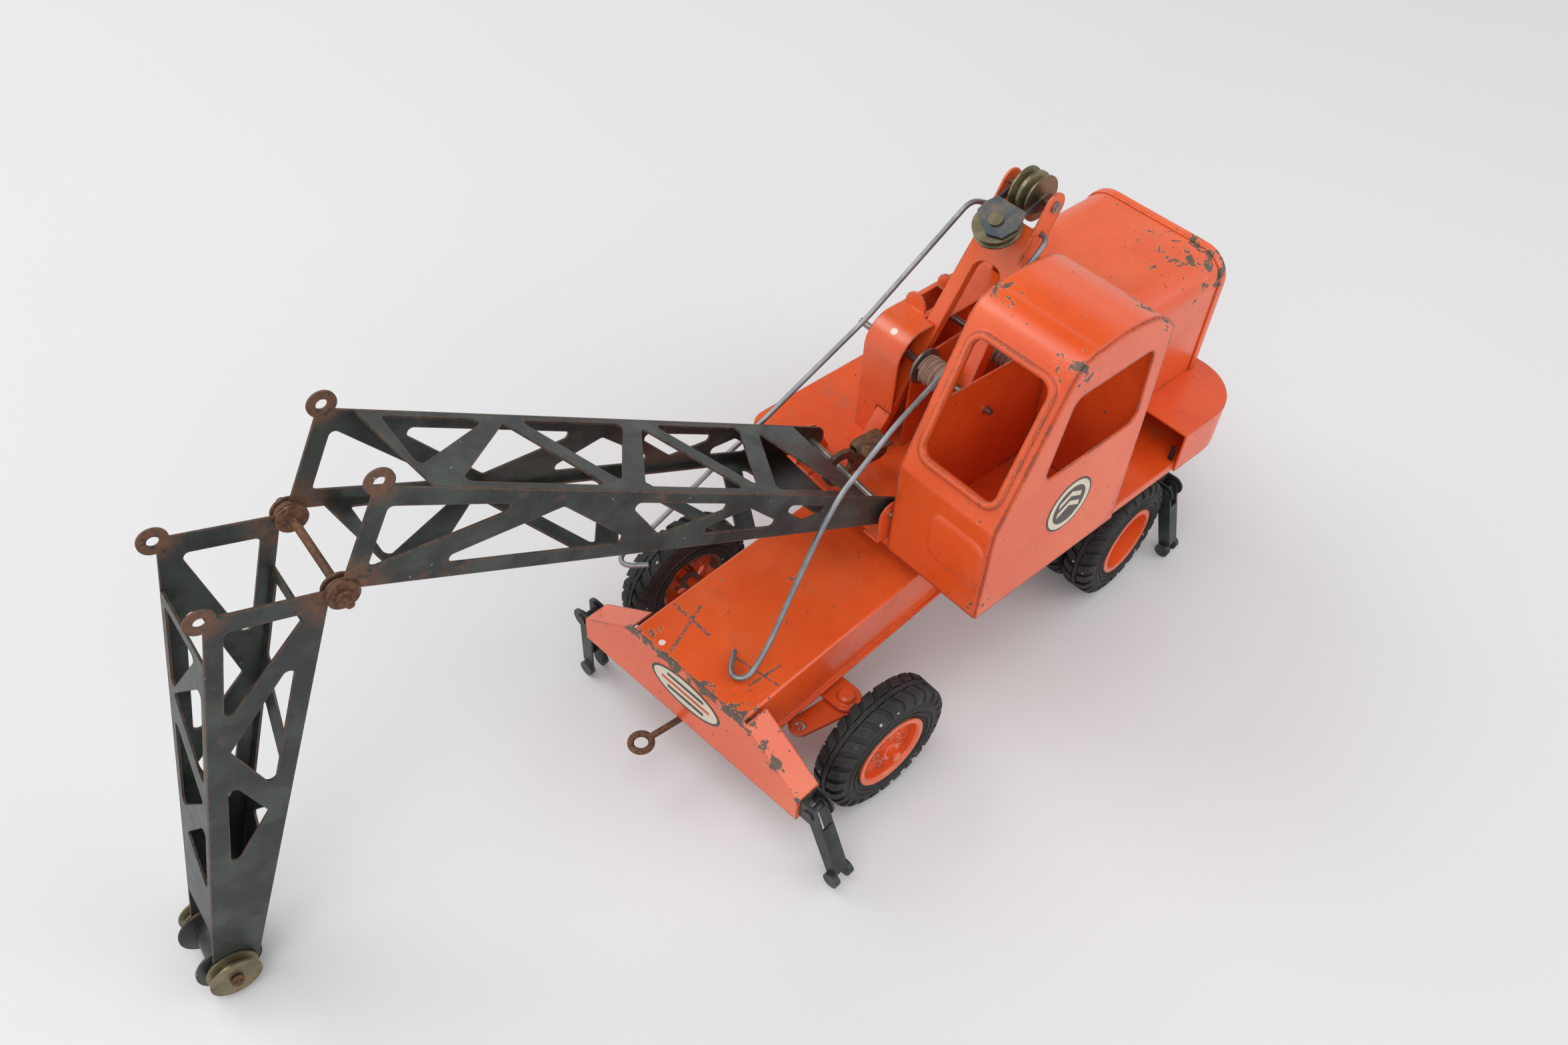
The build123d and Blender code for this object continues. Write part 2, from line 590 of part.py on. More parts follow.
with BuildPart() as hood:
    with BuildSketch(house_cross(HOOD_FRONT)):
        add(hood_sketch(bottom=PLATFORM_TOP))
    extrude(amount=SKIRT_FRONT - HOOD_FRONT - GAP)
    with BuildSketch(house_cross(HOOD_FRONT)):
        add(hood_sketch())
    extrude(amount=HOOD_REAR - LID - HOOD_FRONT + 3)
    with BuildSketch(house_cross(HOOD_FRONT - 1)):
        add(hood_sketch(-SHEET, PLATFORM_TOP - 1))
    extrude(amount=HOOD_REAR - HOOD_FRONT + 10, mode=Mode.SUBTRACT)
finish(hood, "engine_hood")

with BuildPart() as hood_cover:
    with BuildSketch(house_cross(HOOD_REAR - LID)):
        add(hood_sketch(1.0))
    extrude(amount=LID + 0.6)
    fillet(hood_cover.faces().sort_by(Axis.X)[-1].edges(), 1.6)
    with BuildSketch(house_cross(HOOD_REAR - LID)):
        add(hood_sketch(0.1, SKIRT_TOP - 1))
    extrude(amount=LID - 0.4, mode=Mode.SUBTRACT)
finish(hood_cover, "hood_rear_cover")

SKIRT_REAR = 111.4
SKIRT_HALF = 76.2
SKIRT_ROUND = 28.0
with BuildPart() as skirt:
    with BuildSketch(house_level(CAB_BOTTOM)):
        with BuildLine():
            Polyline((SKIRT_REAR - SKIRT_ROUND, -SKIRT_HALF), (SKIRT_FRONT, -SKIRT_HALF),
                     (SKIRT_FRONT, SKIRT_HALF + 1), (SKIRT_REAR - SKIRT_ROUND, SKIRT_HALF + 1))
            RadiusArc((SKIRT_REAR - SKIRT_ROUND, SKIRT_HALF + 1), (SKIRT_REAR, SKIRT_HALF + 1 - SKIRT_ROUND),
                      SKIRT_ROUND)
            Line((SKIRT_REAR, SKIRT_HALF + 1 - SKIRT_ROUND), (SKIRT_REAR, -SKIRT_HALF + SKIRT_ROUND))
            RadiusArc((SKIRT_REAR, -SKIRT_HALF + SKIRT_ROUND), (SKIRT_REAR - SKIRT_ROUND, -SKIRT_HALF),
                      SKIRT_ROUND)
        make_face()
    extrude(amount=SKIRT_TOP - CAB_BOTTOM)
    front_face = skirt.faces().filter_by(Plane(HOUSE.origin, x_dir=HOUSE.y_dir, z_dir=HOUSE.x_dir))
    offset(amount=-SHEET, openings=[skirt.faces().sort_by(Axis.Z)[0], front_face.sort_by(Axis.X)[0]])
finish(skirt, "counterweight_skirt")

GANTRY_V = 8.7
GANTRY_FOOT_U = -49.0
GANTRY_TILT = 63.4
GANTRY_LENGTH = 132.0
GANTRY_FOOT_HALF = 22.3
GANTRY_TOP_HALF = 12.6
GANTRY_DEPTH = 6.5
HEAD_S = 139.6           # sheave axle along the gantry, and behind its face
HEAD_DROP = 5.0
HEAD_AXLE_R = 1.5
EAR_R = 6.2
gantry_up = HOUSE.x_dir * cos(radians(GANTRY_TILT)) + Vector(0, 0, sin(radians(GANTRY_TILT)))
GANTRY = Plane(origin=HOUSE.from_local_coords((GANTRY_FOOT_U, GANTRY_V, PLATFORM_TOP)), x_dir=HOUSE.y_dir,
               z_dir=Vector(HOUSE.y_dir).cross(gantry_up))
head_point = GANTRY.from_local_coords((0, HEAD_S, HEAD_DROP))
# side view of the gantry head: x runs up the slope, y rearward, normal to the far side
HEAD_SIDE = Plane(origin=head_point, x_dir=gantry_up, z_dir=HOUSE.y_dir)

COVER_FRONT = -39.0
COVER_NEAR = 20.5
COVER_FAR = 42.0
COVER_TOP = 147.6
with BuildPart() as cover:
    with BuildSketch(house_side(COVER_NEAR)):
        with BuildLine():
            Polyline((COVER_FRONT, PLATFORM_TOP + 0.1), (COVER_FRONT, 133))
            ThreePointArc((COVER_FRONT, 133), (COVER_FRONT + 3.6, 143.2), (COVER_FRONT + 12, COVER_TOP))
            Polyline((COVER_FRONT + 12, COVER_TOP), (HOOD_FRONT - 0.4, COVER_TOP))
        trace(line_width=SHEET)
    extrude(amount=-(COVER_FAR - COVER_NEAR))
    with BuildSketch(house_side(COVER_FAR)):
        with BuildLine():
            Polyline((COVER_FRONT, PLATFORM_TOP + 0.1), (COVER_FRONT, 133))
            ThreePointArc((COVER_FRONT, 133), (COVER_FRONT + 3.6, 143.2), (COVER_FRONT + 12, COVER_TOP))
            Polyline((COVER_FRONT + 12, COVER_TOP), (HOOD_FRONT - 0.4, COVER_TOP),
                     (HOOD_FRONT - 0.4, PLATFORM_TOP + 0.1), (COVER_FRONT, PLATFORM_TOP + 0.1))
        make_face()
        for shaft in ((-27.8, 133.0), (11.4, 130.0)):
            with Locations(shaft):
                Circle(3, mode=Mode.SUBTRACT)
    extrude(amount=SHEET)
    with BuildSketch(house_level(COVER_TOP - 3)):
        with Locations((-5.5, 34.5)):
            Rectangle(19, 10)
    extrude(amount=6, mode=Mode.SUBTRACT)
    for tab_u in (-16.0, 5.0):
        with BuildSketch(house_cross(tab_u - SHEET / 2)):
            with Locations((34.5, COVER_TOP + 2.6)):
                Circle(6)
            with Locations((34.5, COVER_TOP - 6.5)):
                Rectangle(20, 12, mode=Mode.SUBTRACT)
        extrude(amount=SHEET)
    # notch that lets the gantry's leg through the front and the top
    with BuildSketch(shifted(GANTRY, z=-GAP)):
        Polygon((0, -10), (GANTRY_FOOT_HALF + 1.2, -10), (GANTRY_TOP_HALF + 1.2, GANTRY_LENGTH),
                (0, GANTRY_LENGTH), align=None)
    extrude(amount=GANTRY_DEPTH + 2 * GAP, mode=Mode.SUBTRACT)
finish(cover, "machinery_cover")

WALL_NEAR = CAB_FAR + 0.6
WALL_FAR = 16.0
HOIST_SHAFT = (-27.8, 133.0)
BOOM_SHAFT = (11.4, 130.0)
SHAFT_R = 1.6
with BuildPart() as drum_frame:
    with BuildSketch(house_side(WALL_NEAR)):
        add(rounded([(-77, PLATFORM_TOP), (-77, 124), (-60.5, 156), (-12, 153.5), (33, 150),
                     (33, PLATFORM_TOP)], 2.5))
        with Locations(HOIST_SHAFT):
            Circle(SHAFT_R + RUNNING, mode=Mode.SUBTRACT)
        with Locations(BOOM_SHAFT):
            Circle(SHAFT_R + RUNNING, mode=Mode.SUBTRACT)
    extrude(amount=-SHEET)
    with BuildSketch(house_side(WALL_FAR)):
        add(rounded([(-34, PLATFORM_TOP), (-34, 137), (33, 141), (33, PLATFORM_TOP)], 2.5))
        with Locations(HOIST_SHAFT):
            Circle(SHAFT_R + RUNNING, mode=Mode.SUBTRACT)
        with Locations(BOOM_SHAFT):
            Circle(SHAFT_R + RUNNING, mode=Mode.SUBTRACT)
    extrude(amount=-SHEET)
    with BuildSketch(house_level(PLATFORM_TOP)):
        with Locations((12.5, (WALL_NEAR + WALL_FAR) / 2)):
            Rectangle(40, WALL_FAR - WALL_NEAR + SHEET)
        Circle(11, mode=Mode.SUBTRACT)
    extrude(amount=SHEET)
finish(drum_frame, "drum_frame")

PENDANT_S = -12.5        # pendant hole, down the slope from the axle
PENDANT_DROP = 0.0
PENDANT_R = 1.3
with BuildPart() as gantry:
    with BuildSketch(GANTRY):
        Polygon((-GANTRY_FOOT_HALF, 2), (GANTRY_FOOT_HALF, 2), (GANTRY_TOP_HALF, GANTRY_LENGTH - 4),
                (-GANTRY_TOP_HALF, GANTRY_LENGTH - 4), align=None)
    extrude(amount=GANTRY_DEPTH)
    with BuildSketch(shifted(GANTRY, z=SHEET)):
        Polygon((-GANTRY_FOOT_HALF + SHEET, 0), (GANTRY_FOOT_HALF - SHEET, 0),
                (GANTRY_TOP_HALF - SHEET, GANTRY_LENGTH), (-GANTRY_TOP_HALF + SHEET, GANTRY_LENGTH), align=None)
    extrude(amount=GANTRY_DEPTH, mode=Mode.SUBTRACT)
    # inner flanges fold back along the arch, then the arch is cut through
    with BuildSketch(GANTRY):
        add(rounded([(-16.2, -20), (16.2, -20), (8.6, 107), (-8.6, 107)], 7))
    extrude(amount=4.5)
    with BuildSketch(shifted(GANTRY, z=-1)):
        add(rounded([(-15.2, -22), (15.2, -22), (7.6, 106), (-7.6, 106)], 6))
    extrude(amount=8, mode=Mode.SUBTRACT)
    with BuildSketch(house_level(PLATFORM_TOP)):
        Rectangle(300, 300)
    extrude(amount=-40, mode=Mode.SUBTRACT)
    for edge in (-1, 1):
        with BuildSketch(shifted(HEAD_SIDE, z=edge * (GANTRY_TOP_HALF - SHEET / 2))):
            Circle(EAR_R)
            with Locations((-24, 0)):
                Circle(EAR_R)
            make_hull()
        extrude(amount=SHEET / 2, both=True)
    with BuildSketch(HEAD_SIDE):
        Circle(HEAD_AXLE_R)
        with Locations((PENDANT_S, PENDANT_DROP)):
            Circle(PENDANT_R)
    extrude(amount=40, both=True, mode=Mode.SUBTRACT)
finish(gantry, "gantry_frame")

HEAD_HALF = GANTRY_TOP_HALF + 1.6
with BuildPart() as gantry_axle:
    with BuildSketch(shifted(HEAD_SIDE, z=-HEAD_HALF)):
        Circle(HEAD_AXLE_R)
    extrude(amount=2 * HEAD_HALF)
    for edge in (-1, 1):
        with BuildSketch(shifted(HEAD_SIDE, z=edge * GANTRY_TOP_HALF)):
            Circle(2.6)
        extrude(amount=edge * 1.2)
finish(gantry_axle, "gantry_axle")

with BuildPart() as upper_sheave:
    with BuildSketch(Plane(origin=head_point, x_dir=gantry_up, z_dir=gantry_up.cross(HOUSE.y_dir))):
        with BuildLine():
            bore = HEAD_AXLE_R + RUNNING
            Polyline((bore, -5), (10.5, -5), (10.5, -4.2), (7.4, -2.9), (7.4, -2.2), (10.5, -0.7), (10.5, 0.7),
                     (7.4, 2.2), (7.4, 2.9), (10.5, 4.2), (10.5, 5), (bore, 5), (bore, -5))
        make_face()
    revolve(axis=Axis(head_point, HOUSE.y_dir))
finish(upper_sheave, "upper_sheave")

# Swinging bracket: two tabs on the axle and a plate that carries the lower sheave.
BRACKET_DIP = 26.0       # slope of the plate, forward and down
BRACKET_TAB = 7.6
PLATE_RISE = 4.9         # underside of the plate above the axle
bracket_forward = -HOUSE.x_dir * cos(radians(BRACKET_DIP)) - Vector(0, 0, sin(radians(BRACKET_DIP)))
BRACKET = Plane(origin=head_point, x_dir=HOUSE.y_dir, z_dir=HOUSE.y_dir.cross(bracket_forward))
LOWER_Y = 21.6           # lower sheave axle from the head axle
LOWER_R = 10.6
EYELET_R = 1.9
bracket_side = Plane(origin=head_point, x_dir=bracket_forward, z_dir=bracket_forward.cross(BRACKET.z_dir))
with BuildPart() as head_bracket:
    with BuildSketch(shifted(BRACKET, z=PLATE_RISE)):
        Polygon((-8.1, 11.6), (8.1, 11.6), (10.4, 17), (10.4, 22), (-1, 29), (-8, 27), (-10.4, 20), align=None)
        with Locations((0, LOWER_Y)):
            Circle(EYELET_R, mode=Mode.SUBTRACT)
    extrude(amount=SHEET)
    for edge in (-1, 1):
        with BuildSketch(shifted(bracket_side, z=edge * BRACKET_TAB)):
            Circle(4)
            with Locations((12, PLATE_RISE * bracket_side.y_dir.dot(BRACKET.z_dir))):
                Circle(0.9)
            make_hull()
            Circle(HEAD_AXLE_R + RUNNING, mode=Mode.SUBTRACT)
        extrude(amount=SHEET / 2, both=True)
finish(head_bracket, "head_bracket")

lower_point = BRACKET.from_local_coords((0, LOWER_Y, PLATE_RISE))
with BuildPart() as lower_sheave:
    with BuildSketch(Plane(origin=lower_point, x_dir=BRACKET.x_dir, z_dir=-BRACKET.y_dir)):
        with BuildLine():
            rivet = EYELET_R - RUNNING
            Polyline((0, 2.0), (rivet + 1.4, 2.0), (rivet + 1.4, SHEET + GAP / 2), (rivet, SHEET + GAP / 2),
                     (rivet, -GAP), (LOWER_R, -GAP), (LOWER_R, -1.2), (8, -2.2), (8, -3.0), (LOWER_R, -4.0),
                     (LOWER_R, -4.8), (0, -4.8), (0, 2.0))
        make_face()
    revolve(axis=Axis(lower_point, BRACKET.z_dir))
finish(lower_sheave, "lower_sheave")

# ---------------------------------------------------------------- pendant wires
PENDANT_WIRE_R = 1.2
ear = HEAD_SIDE.from_local_coords((PENDANT_S, PENDANT_DROP, 0))
ear_u = HOUSE.to_local_coords(ear).X
ear_z = ear.Z
FAR_WIRE = ((1.0, 27.0, 202.0), (-50, 33.5, 159), (-101, 43.0, 120), (-118.5, 45.5, 109), (-146, 49.5, 90),
            (-163, 50.8, 80.7), (-171, 52.0, 77.2), (-175.3, 50.0, 76.2), (-175.3, 45.6, 76), (-167.3, 39.8, 76))
NEAR_WIRE = ((6.5, -9.0, 194.0), (-52.6, -15.5, 163), (-85, -19.5, 154), (-117, -23.5, 139), (-130, -26.0, 127),
             (-143, -28.0, 107), (-158, -30.5, 84), (-167, -32.5, 76.5), (-174.5, -33.5, 74.6),
             (-176.0, -26.5, 74.4), (-168, -19.5, 74.4))
for name, sign, route in (("pendant_near", -1, NEAR_WIRE), ("pendant_far", 1, FAR_WIRE)):
    inside = GANTRY_V + sign * (GANTRY_TOP_HALF - 3.2)
    outside = GANTRY_V + sign * (GANTRY_TOP_HALF + 3.4)
    path_points = [HOUSE.from_local_coords(p) for p in route]
    start = HOUSE.from_local_coords((ear_u, inside, ear_z))
    corner = HOUSE.from_local_coords((ear_u, outside, ear_z))
    with BuildPart() as wire:
        with BuildLine():
            FilletPolyline(start, corner, *path_points, radius=1.9)
        with BuildSketch(Plane(origin=start, z_dir=corner - start)):
            Circle(PENDANT_WIRE_R)
        sweep(transition=Transition.ROUND)
    finish(wire, name)

# ---------------------------------------------------------------- drums
DRUM_CORE = 4.5
STRING_R = 7.2
FLANGE_R = 9.0
# name, shaft, middle and half width of the drum, ends of the shaft
DRUMS = (
    ("hoist", HOIST_SHAFT, 7.2, 8.1, -25.5, 56.0),
    ("boom", BOOM_SHAFT, -3.2, 13.5, -22.7, 45.0),
)
for name, centre, drum_v, drum_half, shaft_near, shaft_far in DRUMS:
    string_half = drum_half - SHEET - 0.2
    drum_side = shifted(house_side(0), x=centre[0], y=centre[1])
    with BuildPart() as drum:
        with BuildSketch(shifted(drum_side, z=-shaft_far)):
            Circle(SHAFT_R)
        extrude(amount=shaft_far - shaft_near)
        with BuildSketch(shifted(drum_side, z=-drum_v - drum_half)):
            Circle(DRUM_CORE)
        extrude(amount=2 * drum_half)
        for edge in (-1, 1):
            with BuildSketch(shifted(drum_side, z=-drum_v + edge * drum_half)):
                Circle(FLANGE_R)
            extrude(amount=-edge * SHEET)
    finish(drum, f"{name}_drum")
    with BuildPart() as string:
        with BuildSketch(shifted(drum_side, z=-drum_v - string_half)):
            Circle(STRING_R)
            Circle(DRUM_CORE, mode=Mode.SUBTRACT)
        extrude(amount=2 * string_half)
    finish(string, f"{name}_string")

# ---------------------------------------------------------------- boom foot
FOOT_NEAR_V = -20.6      # bracket ears, either side of the boom's foot
FOOT_FAR_V = 38.2
EAR_R2 = 6.4
foot_u, foot_v, foot_z = BOOM_FOOT
pin_dir = BOOM.z_dir     # the foot pin follows the boom
SQUINT = BOOM_YAW - SLEW
with BuildPart() as foot_bracket:
    for ear_v2, lean in ((FOOT_NEAR_V, -1), (FOOT_FAR_V, 1)):
        at_u = foot_u + (ear_v2 - foot_v) * -sin(radians(SQUINT))
        with BuildSketch(house_side(ear_v2)):
            with Locations((at_u, foot_z)):
                Circle(EAR_R2)
            with Locations((at_u + 4, PLATFORM_TOP + 1)):
                Rectangle(20, 2)
            make_hull()
            with Locations((at_u, foot_z)):
                Circle(PIN_R + 0.08, mode=Mode.SUBTRACT)
        extrude(amount=SHEET / 2, both=True)
        with BuildSketch(house_level(PLATFORM_TOP)):
            with Locations((at_u + 4, ear_v2 - lean * 4)):
                Rectangle(20, 8 + SHEET)
        extrude(amount=SHEET)
    bridge_near = FOOT_NEAR_V + 4
    bridge_far = FOOT_FAR_V - 4
    with BuildSketch(house_level(PLATFORM_TOP)):
        with Locations((foot_u + 5, (bridge_near + bridge_far) / 2)):
            Rectangle(10, bridge_far - bridge_near + 6)
    extrude(amount=SHEET)
    with BuildSketch(Plane(origin=boom_foot_point, x_dir=BOOM.x_dir, z_dir=pin_dir)):
        Circle(PIN_R + 0.08)
    extrude(amount=60, both=True, mode=Mode.SUBTRACT)
finish(foot_bracket, "boom_foot_bracket")

PIN_NEAR = 31.6
PIN_FAR = 32.4
with BuildPart() as foot_pin:
    with BuildSketch(shifted(BOOM, z=-PIN_NEAR)):
        Circle(PIN_R)
    extrude(amount=PIN_NEAR + PIN_FAR)
    with BuildSketch(shifted(BOOM, z=PIN_FAR - 1.2)):
        Circle(2.7)
    extrude(amount=1.2)
finish(foot_pin, "boom_foot_pin")

# ---------------------------------------------------------------- lattice boom
EYE_OUTER = 5.0
EYE_HOLE = 2.0
BASE_EDGE = 7.2          # half depth of the base section at its foot
BASE_SPREAD = 0.0505     # growth of the half depth per mm of length
POST_END = 248.5
WEB_ROUND = 2.0
# corners of the truss openings: distance along the section, height from its centre line
BASE_SIDE_WINDOWS = (
    ((242.0, -12.3), (242.0, 12.3), (191.0, 11.5)),
    ((221.5, -12.5), (176.0, 9.5), (138.0, -8.2)),
    ((149.0, 10.0), (91.0, 7.3), (127.0, -5.5)),
    ((113.0, -7.0), (86.0, 5.0), (60.0, -4.8)),
    ((72.0, 5.8), (34.0, 4.2), (52.0, -2.8)),
)
# distance along the section, across it
BASE_TOP_WINDOWS = (
    ((228.0, 18.3), (186.0, 19.2), (228.0, -10.0)),
    ((217.0, -17.5), (157.0, -19.3), (180.0, 17.5)),
    ((172.0, 19.6), (122.0, 20.8), (149.0, -17.0)),
    ((140.0, -19.8), (88.0, -21.1), (114.0, 19.0)),
    ((106.0, 21.2), (56.0, 22.4), (80.0, -19.0)),
    ((71.0, -21.4), (27.0, -22.6), (46.0, 20.0)),
)
OUTER_SIDE_WINDOWS = (
    ((6.7, 35.5), (6.7, 9.9), (51.4, 32.5)),
    ((23.9, 11.1), (91.0, 13.0), (64.8, 29.8)),
    ((79.7, 29.9), (103.5, 14.0), (134.4, 25.0)),
)
OUTER_FACE_WINDOWS = (
    ((24.0, 15.2), (62.0, 13.7), (24.0, -11.0)),
    ((33.0, -14.9), (84.0, -12.8), (62.0, 12.3)),
    ((74.0, 13.1), (120.0, 11.2), (94.0, -11.3)),
    ((106.0, -11.8), (146.0, -10.2), (132.0, 8.0)),
)


def side_frame(section, length, half_start, half_end, side):
    """Plane of a side panel's outer face: x along the section, y across its depth, normal outward."""
    taper = (half_end - half_start) / length
    x_dir = (section.x_dir + section.z_dir * side * taper).normalized()
    origin = section.origin + section.z_dir * side * half_start
    return Plane(origin=origin, x_dir=x_dir, z_dir=x_dir.cross(section.y_dir))


def bore(section, x, y, radius, reach=60):
    """Cylinder square to a boom section, for cutting pin holes."""
    hole = Plane(origin=section.from_local_coords((x, y, 0)), x_dir=section.x_dir, z_dir=section.z_dir)
    return hole * Cylinder(radius, reach, mode=Mode.PRIVATE)


for name, side in (("boom_base_near", -1), ("boom_base_far", 1)):
    with BuildPart() as panel:
        flat = side_frame(BASE, BASE_LENGTH, FOOT_HALF, KNEE_HALF, side)
        with BuildSketch(flat):
            end_edge = BASE_EDGE + BASE_SPREAD * POST_END
            Polygon((0, BASE_EDGE), (0, -BASE_EDGE), (POST_END, -end_edge), (POST_END, end_edge), align=None)
            Circle(BASE_EDGE)
            with Locations((BASE_LENGTH, KNEE_DEPTH / 2), (BASE_LENGTH, -KNEE_DEPTH / 2)):
                Circle(EYE_OUTER)
        extrude(amount=-side * BOOM_SHEET)
        for corners in BASE_SIDE_WINDOWS:
            with BuildSketch(shifted(flat, z=-4)):
                add(rounded([(x, -side * y) for x, y in corners], WEB_ROUND))
            extrude(amount=8, mode=Mode.SUBTRACT)
        add(bore(BASE, 0, 0, PIN_R + RUNNING), mode=Mode.SUBTRACT)
        add(bore(BASE, BASE_LENGTH, KNEE_DEPTH / 2, EYE_HOLE), mode=Mode.SUBTRACT)
        add(bore(BASE, BASE_LENGTH, -KNEE_DEPTH / 2, PIN_R), mode=Mode.SUBTRACT)
    finish(panel, name)

for name, up_side, first in (("boom_base_top", 1, 18.0), ("boom_base_bottom", -1, 14.0)):
    edge_x = (BASE.x_dir + BASE.y_dir * up_side * BASE_SPREAD).normalized()
    sheet_plane = Plane(origin=BASE.from_local_coords((0, up_side * BASE_EDGE, 0)), x_dir=edge_x,
                        z_dir=edge_x.cross(BASE.z_dir))
    with BuildPart() as panel:
        with BuildSketch(sheet_plane):
            width_first = FOOT_HALF - (FOOT_HALF - KNEE_HALF) * first / BASE_LENGTH - BOOM_SHEET - 0.05
            last = 236.0
            width_last = FOOT_HALF - (FOOT_HALF - KNEE_HALF) * last / BASE_LENGTH - BOOM_SHEET - 0.05
            Polygon((first, -width_first), (last - 8, -width_last - 0.1), (last, width_last),
                    (first, width_first), align=None)
        extrude(amount=up_side * BOOM_SHEET)
        for corners in BASE_TOP_WINDOWS:
            with BuildSketch(shifted(sheet_plane, z=-4)):
                add(rounded(list(corners), WEB_ROUND))
            extrude(amount=8, mode=Mode.SUBTRACT)
        if up_side < 0:
            with BuildSketch(shifted(sheet_plane, z=-4)):
                with Locations((34, 0)):
                    Circle(2.2)
            extrude(amount=8, mode=Mode.SUBTRACT)
    finish(panel, name)

KNEE_PIN_HALF = 27.0
with BuildPart() as knee_pin:
    with BuildSketch(shifted(KNEE, z=-KNEE_PIN_HALF)):
        Circle(PIN_R)
    extrude(amount=2 * KNEE_PIN_HALF)
    for edge in (-1, 1):
        for start, radius in ((17.0, 5.6), (21.4, 5.6), (23.0, 3.0)):
            with BuildSketch(shifted(KNEE, z=edge * start)):
                Circle(radius)
            extrude(amount=edge * 0.9)
finish(knee_pin, "knee_pin")

OUTER_NEAR_EDGE = 3.2    # edge by the knee pin, and its slope
OUTER_NEAR_SLOPE = 0.037
OUTER_FAR_EDGE = 41.8    # edge by the top eyes, and its slope
OUTER_FAR_SLOPE = -0.069
OUTER_HALF = KNEE_HALF - BOOM_SHEET - GAP
TIP_ROUND = 8.9
for name, side in (("boom_outer_near", -1), ("boom_outer_far", 1)):
    with BuildPart() as panel:
        flat = side_frame(OUTER, OUTER_LENGTH, OUTER_HALF, TIP_HALF, side)
        with BuildSketch(flat):
            Polygon((-0.8, OUTER_NEAR_EDGE), (-0.8, OUTER_FAR_EDGE),
                    (OUTER_LENGTH, OUTER_FAR_EDGE + OUTER_FAR_SLOPE * OUTER_LENGTH),
                    (OUTER_LENGTH, OUTER_NEAR_EDGE + OUTER_NEAR_SLOPE * OUTER_LENGTH), align=None)
            with Locations((0, 0), (0, KNEE_DEPTH)):
                Circle(EYE_OUTER)
            with Locations((OUTER_LENGTH, TIP_Y)):
                Circle(TIP_ROUND)
        extrude(amount=-side * BOOM_SHEET)
        for corners in OUTER_SIDE_WINDOWS:
            if side < 0:
                opening = list(corners)
            else:
                opening = [(x, OUTER_NEAR_EDGE + OUTER_FAR_EDGE + (OUTER_NEAR_SLOPE + OUTER_FAR_SLOPE) * x - y)
                           for x, y in corners]
            with BuildSketch(shifted(flat, z=-4)):
                add(rounded(opening, WEB_ROUND))
            extrude(amount=8, mode=Mode.SUBTRACT)
        add(bore(OUTER, 0, 0, PIN_R + RUNNING), mode=Mode.SUBTRACT)
        add(bore(OUTER, 0, KNEE_DEPTH, EYE_HOLE), mode=Mode.SUBTRACT)
        add(bore(OUTER, OUTER_LENGTH, TIP_Y, PIN_R), mode=Mode.SUBTRACT)
    finish(panel, name)

for name, edge, spread, up_side in (("boom_outer_back", OUTER_NEAR_EDGE, OUTER_NEAR_SLOPE, -1),
                                    ("boom_outer_front", OUTER_FAR_EDGE, OUTER_FAR_SLOPE, 1)):
    edge_x = (OUTER.x_dir + OUTER.y_dir * spread).normalized()
    sheet_plane = Plane(origin=OUTER.from_local_coords((0, edge, 0)), x_dir=edge_x,
                        z_dir=edge_x.cross(OUTER.z_dir))
    with BuildPart() as panel:
        with BuildSketch(sheet_plane):
            first = 20.0
            last = 172.0
            width_first = OUTER_HALF - (OUTER_HALF - TIP_HALF) * first / OUTER_LENGTH - BOOM_SHEET - 0.05
            width_last = OUTER_HALF - (OUTER_HALF - TIP_HALF) * last / OUTER_LENGTH - BOOM_SHEET - 0.05
            Polygon((first, -width_first), (last, -width_last), (last, width_last), (first, width_first),
                    align=None)
        extrude(amount=up_side * BOOM_SHEET)
        for corners in OUTER_FACE_WINDOWS:
            with BuildSketch(shifted(sheet_plane, z=-4)):
                add(rounded(list(corners), WEB_ROUND))
            extrude(amount=8, mode=Mode.SUBTRACT)
    finish(panel, name)

# ---------------------------------------------------------------- boom tip
TIP_AXLE_HALF = 20.0
SPOOL_HALF = TIP_HALF - BOOM_SHEET - GAP - 0.3
SIDE_R = 10.0
with BuildPart() as tip_axle:
    with BuildSketch(shifted(TIP, z=-TIP_AXLE_HALF)):
        Circle(PIN_R)
    extrude(amount=2 * TIP_AXLE_HALF)
    for edge in (-1, 1):
        with BuildSketch(shifted(TIP, z=edge * (TIP_AXLE_HALF - 2.2))):
            Circle(2.6)
        extrude(amount=edge * 1.0)
finish(tip_axle, "tip_axle")

tip_section = Plane(origin=TIP.origin, x_dir=TIP.x_dir, z_dir=TIP.x_dir.cross(TIP.z_dir))
with BuildPart() as tip_spool:
    with BuildSketch(tip_section):
        with BuildLine():
            run = PIN_R + RUNNING
            Polyline((run, -SPOOL_HALF), (TIP_Z, -SPOOL_HALF), (TIP_Z, 1 - SPOOL_HALF), (7, 2.2 - SPOOL_HALF),
                     (7, SPOOL_HALF - 2.2), (TIP_Z, SPOOL_HALF - 1), (TIP_Z, SPOOL_HALF), (run, SPOOL_HALF),
                     (run, -SPOOL_HALF))
        make_face()
    revolve(axis=Axis(TIP.origin, TIP.z_dir))
finish(tip_spool, "tip_spool")

with BuildPart() as tip_sheaves:
    for edge in (-1, 1):
        inner = TIP_HALF + 0.8
        with BuildSketch(tip_section):
            with BuildLine():
                Polyline((run, edge * inner), (SIDE_R, edge * inner), (SIDE_R, edge * (inner + 0.8)),
                         (7, edge * (inner + 2.1)), (7, edge * (inner + 2.9)), (SIDE_R, edge * (inner + 4.2)),
                         (SIDE_R, edge * (inner + 5)), (run, edge * (inner + 5)), (run, edge * inner))
            make_face()
        revolve(axis=Axis(TIP.origin, TIP.z_dir))
finish(tip_sheaves, "tip_sheaves")

